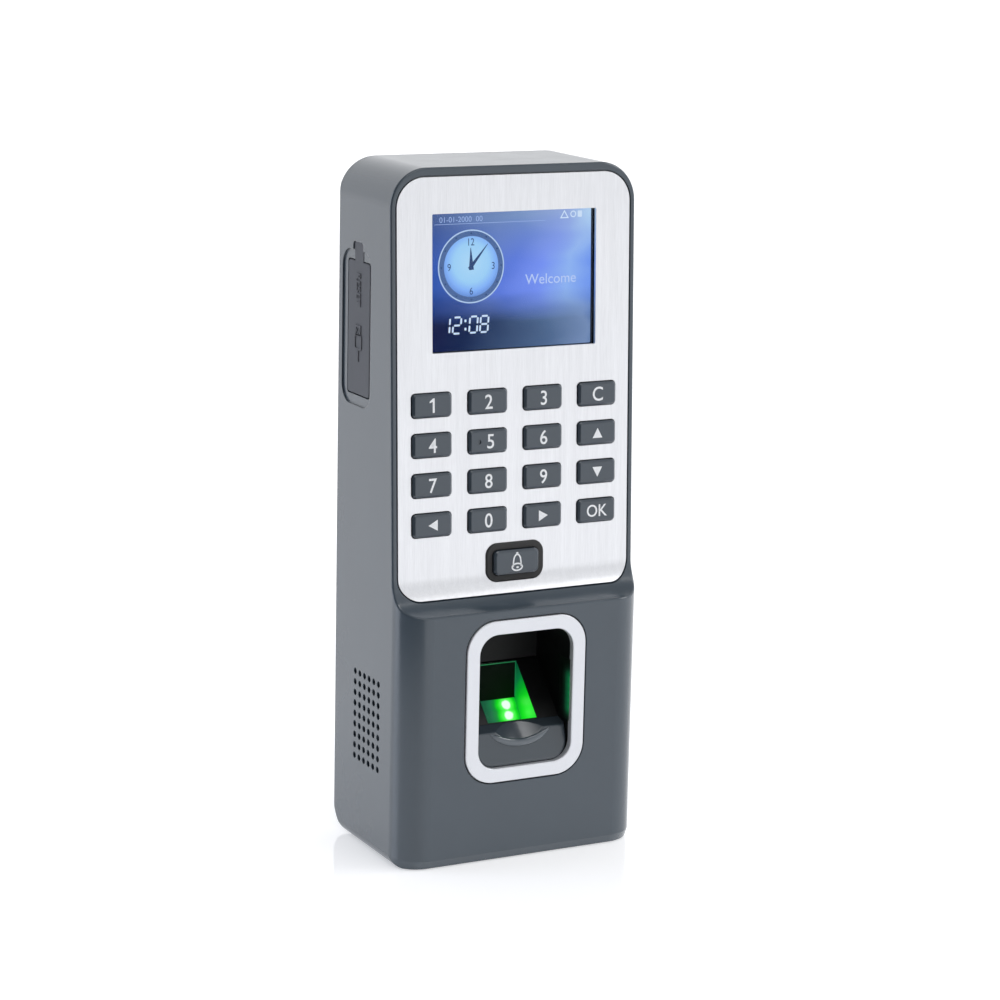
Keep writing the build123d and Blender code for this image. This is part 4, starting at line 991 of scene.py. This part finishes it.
@dataclass
class Display:
    """The colour display with its window, and the picture it shows."""

    clock_place: Point2 = (-11.7, 3.9)
    clock_radius: float = 9.6
    rise: float = 0.03
    layer: float = 0.02

    def build(self) -> None:
        """Dresses the display module and draws its picture."""
        dress(Stock.GLASS, "display_window")
        dress(Stock.BLACK, "lcd_frame")
        dress(Stock.LIGHT_GUIDE, "display_backlight")
        low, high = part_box("lcd_panel")
        opening_low, opening_high = low + Vector((3, 0, 3)) * MM, high - Vector((3, 0, 3)) * MM
        dress(DisplayPicture("display_picture", tuple(opening_low), tuple(opening_high), 0.95), "lcd_panel")
        face = Face.of("lcd_panel", Keypad.normal())
        self.clock(face)
        self.readout(face)
        self.status(face)

    def mark(self, name: str, outlines: Iterable[Sequence[Point2]], tone: Finish, layer: int,
             face: Face) -> None:
        """Adds one flat tone of the picture, a given number of layers above the panel."""
        low = self.layer * layer
        mesh = plates(name, outlines, low, low + self.rise / 2, face.matrix)
        mesh_piece(name, mesh, tone, ROOT)

    def clock(self, face: Face) -> None:
        """Draws the round clock with its figures and hands."""
        centre = self.clock_place
        radius = self.clock_radius
        middle = face.matrix @ Vector((centre[0] * MM, centre[1] * MM, 0))
        rim = LitMark("picture_rim", "c8e0ff", 0.9)
        band = LitMark("picture_band", "5f7cb0", 0.8)
        dark = LitMark("picture_dark", "415c8c", 0.75)
        self.mark("clock_rim", [circle(centre, radius + 0.2, 64)], rim, 1, face)
        self.mark("clock_band", [circle(centre, radius - 0.15, 64)], band, 2, face)
        dial = ClockFace("picture_dial", tuple(middle), radius * MM * 0.86, 0.98)
        self.mark("clock_dial", [circle(centre, radius * 0.84, 64)], dial, 3, face)
        ticks = []
        for hour in range(12):
            turn = math.radians(90 - 30 * hour)
            place = (centre[0] + 0.92 * radius * math.cos(turn), centre[1] + 0.92 * radius * math.sin(turn))
            ticks.append(circle(place, 0.24, 10))
        self.mark("clock_ticks", ticks, dark, 4, face)
        figures = []
        for hour in (3, 6, 9, 12):
            turn = math.radians(90 - 30 * hour)
            place = (centre[0] + 0.68 * radius * math.cos(turn), centre[1] + 0.68 * radius * math.sin(turn))
            rise = (self.layer * 4, self.layer * 4 + self.rise / 2)
            figures.append(lettering("figure", str(hour), 1.9, place, rise, face.matrix, 0.85))
        mesh_piece("clock_figures", join("clock_figures", figures), dark, ROOT)
        hands = [self.hand(centre, 92, 5.0, 0.75), self.hand(centre, 50, 7.6, 0.55)]
        self.mark("clock_hands", hands, dark, 5, face)

    @staticmethod
    def hand(centre: Point2, angle: float, length: float, half: float) -> list[Point2]:
        """A tapering clock hand at an angle in degrees."""
        ahead = (math.cos(math.radians(angle)), math.sin(math.radians(angle)))
        across = (-ahead[1], ahead[0])
        corners = ((-0.9, half), (-0.9, -half), (length, -0.07), (length, 0.07))
        return [(centre[0] + a * ahead[0] + c * across[0], centre[1] + a * ahead[1] + c * across[1])
                for a, c in corners]

    def readout(self, face: Face) -> None:
        """Draws the seven-segment time under the clock."""
        tone = LitMark("picture_white", "dcecff", 1.0)
        parts: list[list[Point2]] = []
        for figure, place in (("1", -19.2), ("2", -15.9), ("0", -11.0), ("8", -7.8)):
            parts += self.segments(figure, (place, -11.6), 2.3, 4.3)
        for height in (-10.5, -12.7):
            parts.append(rectangle((-13.4, height), 0.6, 0.75, 0.2))
        self.mark("time_readout", parts, tone, 1, face)

    @staticmethod
    def segments(figure: str, centre: Point2, width: float, height: float) -> list[list[Point2]]:
        """The lit segments of one figure, as rounded bars that lean a little to the right."""
        lit = {"0": "abcdef", "1": "bc", "2": "abged", "8": "abcdefg"}[figure]
        bar = 0.52
        half, up = width / 2, height / 2
        places = {
            "a": ((0, up), True), "g": ((0, 0), True), "d": ((0, -up), True),
            "b": ((half, up / 2), False), "c": ((half, -up / 2), False),
            "f": ((-half, up / 2), False), "e": ((-half, -up / 2), False),
        }
        shapes = []
        for name in lit:
            (x, y), flat = places[name]
            size = (width - bar, bar) if flat else (bar, up - bar)
            lean = [(px + 0.08 * (py + y), py) for px, py in rectangle((0, 0), *size, 0.2)]
            shapes.append([(centre[0] + x + px, centre[1] + y + py) for px, py in lean])
        return shapes

    def status(self, face: Face) -> None:
        """Draws a plain greeting, the date line and the status signs."""
        white = LitMark("picture_white", "dcecff", 1.0)
        pale = LitMark("picture_pale", "a9c0ee", 0.95)
        rise = (self.layer, self.layer + self.rise / 2)
        greeting = lettering("greeting", "Welcome", 2.7, (12.2, -0.3), rise, face.matrix, 1.0)
        mesh_piece("greeting", greeting, LitMark("picture_greeting", "c6d6fb", 1.0), ROOT)
        date = lettering("date", "01-01-2000  00", 1.45, (-14.7, 16.5), rise, face.matrix, 1.0)
        mesh_piece("date_figures", date, pale, ROOT)
        signs = stroke([(15.2, 15.8), (16.3, 17.6), (17.4, 15.8)], 0.3, True)
        signs += stroke(circle((19.0, 16.7), 0.75, 20), 0.3, True)
        signs.append(rectangle((21.0, 16.7), 1.3, 1.7, 0.2))
        self.mark("status_signs", signs, white, 1, face)
        self.mark("status_line", [rectangle((-6.0, 15.3), 33.0, 0.14)], pale, 1, face)


@dataclass
class FingerSensor:
    """The finger window: its ring, liner and guide, and the optical module behind them with its painted green
    light.
    """

    foil: float = 0.03
    lip_half: float = 9.3
    lip_arc: float = 16.0
    lip_width: float = 2.2
    lip_rise: float = 0.8
    lip_depth: float = 0.1
    lip_height: float = 0.2
    lip_steps: int = 24
    lip_sides: int = 16
    apron_lean: float = 0.27

    def build(self) -> None:
        """Dresses the sensor and paints green light and shade inside it."""
        dress(Stock.RING, "sensor_ring")
        dress(Stock.GUIDE, "finger_guide")
        dress(Stock.LINER, "sensor_well", "sensor_housing")
        dress(Stock.PLATEN, "sensor_prism")
        dress(Stock.LED, "sensor_leds")
        dress(Stock.BLACK, "sensor_camera")
        dress(Stock.BOARD, "sensor_board")
        dress(Stock.SCREW, "sensor_screws")
        self.lip()
        self.foils()

    def lip(self) -> None:
        """Adds the moulded bead along the rounded front edge of the guide's trough, in a paler grey that paints
        a highlight on it.
        """
        low, high = box_mm("finger_guide")
        middle = [v.co / MM for v in frame["nodes"]["finger_guide"].data.vertices if abs(v.co.x) < 0.6 * MM]
        edge = min((p for p in middle if p.z > (low.z + high.z) / 2), key=lambda p: p.y)
        rings = []
        for i in range(2 * self.lip_steps + 1):
            share = i / self.lip_steps - 1
            x = share * self.lip_half
            lift = self.lip_arc - math.sqrt(self.lip_arc ** 2 - x * x)
            depth = edge.y + self.apron_lean * lift + self.lip_depth
            centre = Vector((x, depth, edge.z + lift + self.lip_height))
            taper = max(0.05, 1 - abs(share) ** 6)
            rise, half = self.lip_rise * taper, self.lip_width / 2 * taper
            rings.append([(centre + Vector((0, -rise * math.cos(turn), half * math.sin(turn)))) * MM
                          for turn in (math.tau * k / self.lip_sides for k in range(self.lip_sides))])
        mesh = loft("guide_lip", rings, smooth=True)
        mesh_piece("guide_lip", mesh, Stock.BEAD, ROOT)

    def foils(self) -> None:
        """Adds the sheets of painted green light and the black sheet of painted shade that line the prism's
        hidden faces.
        """
        low, high = box_mm("sensor_prism")
        outline = self.section([v.co / MM for v in frame["nodes"]["sensor_prism"].data.vertices])
        heel, toe = self.lower_face(outline)
        # The cheek, floor, chin and rim sheets glow with painted green light, standing in for the diodes' light
        # in the prism.
        cheek = GreenLight("painted_light_cheek", ((high.x * MM, (low.y + 4.5) * MM, (low.z + 3.5) * MM),), 15.0 * MM, (
            (0.0, "22ff2c"), (0.3, "0fe020"), (0.5, "08b02c"), (0.7, "0a7442"), (1.0, "083a2c")), 0.95)
        for name, sign in (("left", -1), ("right", 1)):
            x = sign * (high.x - 1.5 * self.foil)
            mesh = plates(f"foil_{name}", [outline], x - self.foil / 2, x + self.foil / 2, self.y_z())
            mesh_piece(f"light_foil_{name}", mesh, cheek, ROOT)
        floor = GreenLight("painted_light_floor", self.diodes(), 6.5 * MM, (
            (0.0, "ffffff"), (0.18, "fafffa"), (0.24, "60ff60"), (0.42, "10d81c"), (0.58, "0f8a36"),
            (0.76, "1c7048"), (1.0, "14583c")), 1.1)
        mesh_piece("light_foil_floor", self.strip("foil_floor", heel, toe, low.x + 0.1, high.x - 0.1), floor,
                   ROOT)
        chin = GreenLight("painted_light_chin", self.diodes(), 9.0 * MM, (
            (0.0, "18d824"), (0.35, "10b828"), (0.7, "186a40"), (1.0, "0e4430")), 0.9)
        front = min((p for p in outline if p[1] < low.z + 0.01), key=lambda p: p[0])
        mesh_piece("light_foil_chin", self.strip("foil_chin", toe, front, low.x + 0.1, high.x - 0.1), chin,
                   ROOT)
        rim = GreenLight("painted_light_rim", ((0.0, high.y * MM, heel[1] * MM),), 16.0 * MM, (
            (0.0, "1c9a50"), (1.0, "1a7850")), 0.8)
        top = (heel[0], high.z - 0.1)
        mesh_piece("light_foil_rim", self.strip("foil_rim", top, heel, low.x + 0.05, high.x - 0.05, 1.0), rim,
                   ROOT)
        # A black sheet of painted shade behind the prism's back face, for the platen's dark look.
        mesh_piece("painted_shade_screen", self.strip("painted_shade_screen", (top[0], top[1] - 0.25), heel, low.x + 0.3,
                                              high.x - 0.3, 3.0), Stock.SCREEN, ROOT)
        self.wall_glow()

    @staticmethod
    def diodes() -> tuple[tuple[float, float, float], ...]:
        """The middles of the lit pair of diodes, from the diodes' own vertices."""
        groups: list[list[Vector]] = []
        for vertex in frame["nodes"]["sensor_leds"].data.vertices:
            group = next((g for g in groups if (g[0] - vertex.co).length < 2.6 * MM), None)
            if group is None:
                groups.append([vertex.co.copy()])
            else:
                group.append(vertex.co.copy())
        middles = [sum(group, Vector()) / len(group) for group in groups]
        return tuple(tuple(middle) for middle in middles if middle.x > 0)

    def wall_glow(self) -> None:
        """Adds painted green light on a sheet at the liner's right wall, for the light that the platen throws
        there.
        """
        guide_low, guide_high = box_mm("finger_guide")
        x = guide_high.x
        start = guide_low.y + 0.3
        near = tuple((x * MM, start * MM, (guide_high.z + rise) * MM) for rise in (4.0, 6.0, 8.0, 10.0, 12.0))
        # Painted green light: an emissive sheet, no lamp.
        glow = GreenLight("wall_glow", near, 4.5 * MM, (
            (0.0, "0f7a44"), (0.3, "0a5230"), (0.65, "04180f"), (1.0, "000000")), 0.9)
        outline = [(start, guide_high.z + 0.2), (start + 6.0, guide_high.z + 0.2),
                   (start + 6.0, guide_high.z + 17.5), (start, guide_high.z + 17.5)]
        mesh = plates("wall_glow", [outline], x - self.foil, x, self.y_z())
        mesh_piece("wall_glow", mesh, glow, ROOT)

    @staticmethod
    def y_z() -> Matrix:
        """The plane whose x is +Y, whose y is +Z and whose normal is +X."""
        return Matrix(((0, 0, 1, 0), (1, 0, 0, 0), (0, 1, 0, 0), (0, 0, 0, 1)))

    @staticmethod
    def section(vertices: Sequence[Vector]) -> list[Point2]:
        """The convex (y, z) outline of a straight block's vertices, counter-clockwise."""
        points = sorted({(round(v.y, 3), round(v.z, 3)) for v in vertices})

        def chain(items: Iterable[Point2]) -> list[Point2]:
            """One side of the outline."""
            kept: list[Point2] = []
            for item in items:
                while len(kept) > 1 and ((kept[-1][0] - kept[-2][0]) * (item[1] - kept[-2][1])
                                         - (kept[-1][1] - kept[-2][1]) * (item[0] - kept[-2][0])) <= 1e-6:
                    kept.pop()
                kept.append(item)
            return kept

        return chain(points)[:-1] + chain(reversed(points))[:-1]

    @staticmethod
    def lower_face(outline: Sequence[Point2]) -> tuple[Point2, Point2]:
        """The ends of the sloping face under the prism's back: its upper and its lower one."""
        heel = min((p for p in outline if p[0] > max(q[0] for q in outline) - 0.01), key=lambda p: p[1])
        toe = max((p for p in outline if p[1] < min(q[1] for q in outline) + 0.01), key=lambda p: p[0])
        return heel, toe

    def strip(self, name: str, start: Point2, end: Point2, left: float, right: float,
              layer: float = 1.5) -> bpy.types.Mesh:
        """A thin plate between two (y, z) points, a number of foil layers inside the glass."""
        along = Vector((0, end[0] - start[0], end[1] - start[1]))
        length = along.length
        along.normalize()
        inward = Vector((0, along.z, -along.y))
        origin = Vector((0, start[0], start[1])) + inward * layer * self.foil
        placing = Matrix((Vector((1, 0, 0)), along, Vector((1, 0, 0)).cross(along))).transposed().to_4x4()
        placing.translation = origin * MM
        outline = [(left, 0.15), (right, 0.15), (right, length - 0.15), (left, length - 0.15)]
        return plates(name, [outline], -self.foil / 2, self.foil / 2, placing)


@dataclass
class SidePort:
    """The rubber flap on the side, with its hinge strip and raised signs, and what is behind it."""

    sign_rise: float = 0.3
    line: float = 0.55
    hinge_share: float = 0.84
    hinge_overlaps: Point2 = (0.35, 0.25)
    hinge_depths: Point2 = (0.02, 0.75)
    hinge_steps: int = 10

    def build(self) -> None:
        """Dresses the flap and the port and adds the small rubber pieces."""
        dress(Stock.FLAP, "port_cover", "port_cover_anchor")
        dress(Stock.NICKEL, "usb_port")
        dress(Stock.KEYS, "reset_button")
        dress(Stock.MOULDED_EPOXY, "reset_switch")
        self.hinge()
        face = Face.of("port_cover", Vector((-1, 0, 0)))
        plug = plates("flap_plug", self.plug_sign((0.0, -3.9)), -0.05, self.sign_rise, face.matrix)
        down = face.matrix @ Matrix.Rotation(math.radians(-90), 4, "Z")
        word = lettering("flap_word", "RESET", 2.6, (-10.4, 0.0), (-0.05, self.sign_rise), down, 0.95, 0.01)
        mesh_piece("flap_signs", join("flap_signs", [plug, word]), Stock.FLAP, "port_cover")

    def hinge(self) -> None:
        """Adds the thin rubber strip between the fixed tab and the flap."""
        tab_low, tab_high = box_mm("port_cover_anchor")
        flap_high = box_mm("port_cover")[1]
        middle = (tab_low.y + tab_high.y) / 2
        half = self.hinge_share / 2 * (tab_high.y - tab_low.y)
        start, end = flap_high.z - self.hinge_overlaps[0], tab_low.z + self.hinge_overlaps[1]
        outer, inner = (tab_low.x + depth for depth in self.hinge_depths)
        rings = []
        for i in range(self.hinge_steps + 1):
            z = start + (end - start) * i / self.hinge_steps
            corners = ((outer, -half), (outer, half), (inner, half), (inner, -half))
            rings.append([Vector((x, middle + y, z)) * MM for x, y in corners])
        mesh = loft("flap_hinge", rings)
        mesh.materials.append(material_of(Stock.FLAP))
        piece = bpy.data.objects.new("flap_hinge", mesh)
        bpy.context.scene.collection.objects.link(piece)
        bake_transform(piece)

    def plug_sign(self, centre: Point2) -> list[list[Point2]]:
        """A plain plug sign: a shell with two contacts, a body and a lead."""
        x, y = centre
        shell = stroke(rectangle((x, y + 3.4), 2.8, 2.2), self.line, True)
        contacts = [rectangle((x + side * 0.6, y + 3.4), 0.5, 0.7) for side in (-1, 1)]
        body = stroke(rectangle((x, y + 0.2), 4.0, 3.8, 0.7), self.line, True)
        lead = [rectangle((x, y - 3.5), 0.7, 3.2)]
        return shell + contacts + body + lead


@dataclass
class SpeakerUnit:
    """The loudspeaker behind the side vents, with the dust mesh inside its foam ring."""

    thread: float = 0.16
    pitch: float = 0.55

    def build(self) -> None:
        """Dresses the speaker and weaves its dust mesh."""
        dress(Stock.MOULDED_EPOXY, "speaker")
        dress(Stock.FOAM, "speaker_gasket")
        low, high = box_mm("speaker_gasket")
        centre = (low + high) / 2
        width, height = high.y - low.y - 4.2, high.z - low.z - 4.2
        upright = Repeat("mesh_upright", Unit.THREAD, int(width / self.pitch), 1, (self.pitch, self.pitch),
                         (self.thread, self.thread, height))
        level = Repeat("mesh_level", Unit.THREAD, int(height / self.pitch), 1, (self.pitch, self.pitch),
                       (self.thread, self.thread, width))
        base = Matrix.Translation(centre * MM)
        stand = base @ Matrix.Rotation(math.radians(90), 4, "Z")
        lie = base @ Matrix.Rotation(math.radians(90), 4, "X") @ Matrix.Rotation(math.radians(90), 4, "Z")
        lie = Matrix.Translation((self.thread * MM, 0, 0)) @ lie
        finish = Stock.SILICONE
        mesh = join("dust_mesh", [upright.build(finish, stand), level.build(finish, lie)])
        mesh_piece("dust_mesh", mesh, finish, ROOT)


@dataclass
class Electronics:
    """The boards, their parts and the flat cables."""

    bead: float = 1.1

    def build(self) -> None:
        """Dresses the electronics and adds solder joints and small chips behind the board."""
        dress(Stock.BOARD, "main_board")
        dress(Stock.FILM, "display_ribbon", "keypad_ribbon", "sensor_ribbon")
        dress(Stock.NYLON, "board_connectors", "wiring_headers")
        dress(Stock.SCREW, "board_screws")
        dress(Stock.MOULDED_EPOXY, "processor_chips", "buzzer")
        dress(Stock.BLACK, "coin_cell_holder")
        dress(Stock.CAN, "capacitors")
        dress(Stock.RELAY, "lock_relay")
        dress(Stock.CELL, "coin_cell")
        rear = box_mm("main_board")[1].y
        header_low, header_high = box_mm("wiring_headers")
        middle_z = (header_low.z + header_high.z) / 2
        turn = Matrix.Rotation(math.radians(-90), 4, "X")
        beads = Repeat("solder_beads", Unit.BEAD, 12, 2, (3.0, 2.4), (self.bead, self.bead, 0.7))
        chips = Repeat("small_chips", Unit.CHIP, 14, 3, (2.4, 2.6), (1.2, 0.8, 0.45), 0.7, 11)
        rows = []
        for height in (middle_z - 6.6, middle_z + 6.6):
            rows.append(beads.build(Stock.SOLDER, Matrix.Translation((0, rear * MM, height * MM)) @ turn))
        mesh_piece("solder_joints", join("solder_joints", rows), Stock.SOLDER, ROOT)
        place = Matrix.Translation((0, (rear + 0.2) * MM, (middle_z - 11.5) * MM)) @ turn
        epoxy = Stock.MOULDED_EPOXY
        mesh_piece("small_chips", chips.build(epoxy, place), epoxy, ROOT)


@dataclass
class RearHardware:
    """The steel wall plate and the screws that show at the back and the base."""

    def build(self) -> None:
        """Dresses the plate and the screws."""
        dress(Stock.STEEL_SHEET, "wall_plate")
        dress(Stock.SCREW, "security_screw", "housing_screws")


# ---- Studio ----------------------------------------------------------------------------------
@dataclass
class SoftBox:
    """One large soft lamp that looks at a point."""

    name: str
    place: tuple[float, float, float]
    size: tuple[float, float]
    power: float
    colour: str = "ffffff"

    def build(self, target: Vector) -> None:
        """Adds the lamp."""
        lamp = bpy.data.lights.new(self.name, "AREA")
        lamp.shape = "RECTANGLE"
        lamp.size, lamp.size_y = self.size
        lamp.energy = self.power
        lamp.color = linear(self.colour)[:3]
        holder = bpy.data.objects.new(self.name, lamp)
        holder.location = self.place
        holder.rotation_euler = (target - Vector(self.place)).to_track_quat("-Z", "Y").to_euler()
        bpy.context.scene.collection.objects.link(holder)


@dataclass
class Studio:
    """The pale floor, the soft light around the object and the camera."""

    camera_place: tuple[float, float, float] = (-0.36383, -0.70462, 0.27009)
    camera_right: tuple[float, float, float] = (0.88922672, -0.45696929, 0.02132853)
    camera_up: tuple[float, float, float] = (0.07982964, 0.20091237, 0.97635109)
    lens: float = 106.82
    dark_towards: tuple[float, float, float] = (-0.845, -0.525, 0.08)
    dark_level: float = 0.06
    bright_towards: tuple[float, float, float] = (-0.25, 0.95, 0.0)
    bright_level: float = 1.2
    flag_start: float = 0.24
    flag_end: float = 2.6
    flag_angles: tuple[float, float] = (14.0, 102.0)
    overhead_level: float = 0.35

    def build(self) -> None:
        """Sets the floor, the light and the camera."""
        self.camera()
        self.floor()
        self.flag()
        self.surroundings()
        low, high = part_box("front_housing")
        target = (low + high) / 2
        for lamp in (
            SoftBox("box_high", (1.15, -0.55, 1.1), (0.6, 0.6), 6.0),
            SoftBox("box_front", (0.1, -0.6, 1.5), (1.0, 0.25), 4.0),
            SoftBox("box_left", (-1.5, 0.7, 0.5), (0.8, 1.0), 8.0, "dfeaff"),
        ):
            lamp.build(target)
        bpy.context.scene.view_settings.view_transform = "Standard"

    def camera(self) -> None:
        """Adds the camera."""
        data = bpy.data.cameras.new("camera")
        data.lens = self.lens
        data.sensor_width = 36.0
        camera = bpy.data.objects.new("camera", data)
        right, up = Vector(self.camera_right), Vector(self.camera_up)
        turn = Matrix((right, up, right.cross(up))).transposed().to_4x4()
        camera.matrix_world = Matrix.Translation(self.camera_place) @ turn
        bpy.context.scene.collection.objects.link(camera)
        bpy.context.scene.camera = camera

    def floor(self) -> None:
        """Adds the plain pale floor."""
        half = 6.0
        mesh = bpy.data.meshes.new("floor")
        corners = [(-half, -half, 0), (half, -half, 0), (half, half, 0), (-half, half, 0)]
        mesh.from_pydata(corners, [], [(0, 1, 2, 3)])
        mesh.materials.append(WhiteAcrylic("white_acrylic", "fbfbfc").material())
        floor = bpy.data.objects.new("floor", mesh)
        floor.location.z = -0.0002
        bpy.context.scene.collection.objects.link(floor)

    def flag(self) -> None:
        """Lays a black card on the floor beside the camera, which darkens the housing's rounded corner.

        The camera doesn't see it: it only shows as a reflection.
        """
        made = bmesh.new()
        edges = []
        for step in range(25):
            turn = math.radians(self.flag_angles[0] + (self.flag_angles[1] - self.flag_angles[0]) * step / 24)
            ahead = Vector((-math.sin(turn), -math.cos(turn), 0.0))
            edges.append([made.verts.new(ahead * radius) for radius in (self.flag_start, self.flag_end)])
        for before, after in zip(edges, edges[1:]):
            made.faces.new((before[0], after[0], after[1], before[1]))
        bmesh.ops.recalc_face_normals(made, faces=made.faces)
        mesh = bpy.data.meshes.new("black_card")
        made.to_mesh(mesh)
        made.free()
        mesh.materials.append(PrintedInk("black_card", "0a0a0b", 0.8).material())
        card = bpy.data.objects.new("black_card", mesh)
        card.visible_camera = False
        bpy.context.scene.collection.objects.link(card)

    def surroundings(self) -> None:
        """Sets the even studio light, weaker overhead and on the camera's side."""
        world = bpy.data.worlds.new("studio")
        world.use_nodes = True
        tree = world.node_tree
        tree.nodes.clear()
        direction = add(tree, "ShaderNodeTexCoord").outputs["Generated"]
        shade = self.facing(tree, direction, self.dark_towards, (0.42, 0.93), (1.0, self.dark_level))
        glow = self.facing(tree, direction, self.bright_towards, (-0.2, 0.8), (1.0, self.bright_level))
        above = self.facing(tree, direction, (0.0, 0.0, 1.0), (0.4, 0.85), (1.0, self.overhead_level))
        level = maths(tree, "MULTIPLY", shade, glow)
        level = maths(tree, "MULTIPLY", level, above)
        lit = add(tree, "ShaderNodeBackground", inputs={"Color": linear("fcfdff"), "Strength": level})
        plain = add(tree, "ShaderNodeBackground", inputs={"Color": linear("ffffff"), "Strength": 1.0})
        seen = add(tree, "ShaderNodeLightPath").outputs["Is Camera Ray"]
        mix = add(tree, "ShaderNodeMixShader", inputs={"Fac": seen, 1: lit.outputs[0], 2: plain.outputs[0]})
        add(tree, "ShaderNodeOutputWorld", inputs={"Surface": mix.outputs[0]})
        bpy.context.scene.world = world

    @staticmethod
    def facing(tree: bpy.types.NodeTree, direction: Socket, towards: tuple[float, float, float],
               source: Point2, levels: Point2) -> Socket:
        """A light level that changes smoothly with how much a direction points one way."""
        share = add(tree, "ShaderNodeVectorMath", {"operation": "DOT_PRODUCT"}, {
            0: direction, 1: towards}).outputs["Value"]
        return add(tree, "ShaderNodeMapRange", {"interpolation_type": "SMOOTHSTEP"}, {
            "Value": share, "From Min": source[0], "From Max": source[1],
            "To Min": levels[0], "To Max": levels[1],
        }).outputs["Result"]


def main() -> None:
    """Builds every sub-assembly and the studio, in order."""
    logging.basicConfig(level=logging.INFO, format="%(name)s: %(message)s")
    for part in (Shells(), Keypad(), Display(), FingerSensor(), SidePort(), SpeakerUnit(), Electronics(),
                 RearHardware(), Studio()):
        LOG.info("building %s", type(part).__name__)
        part.build()


if __name__ == "__main__":
    main()
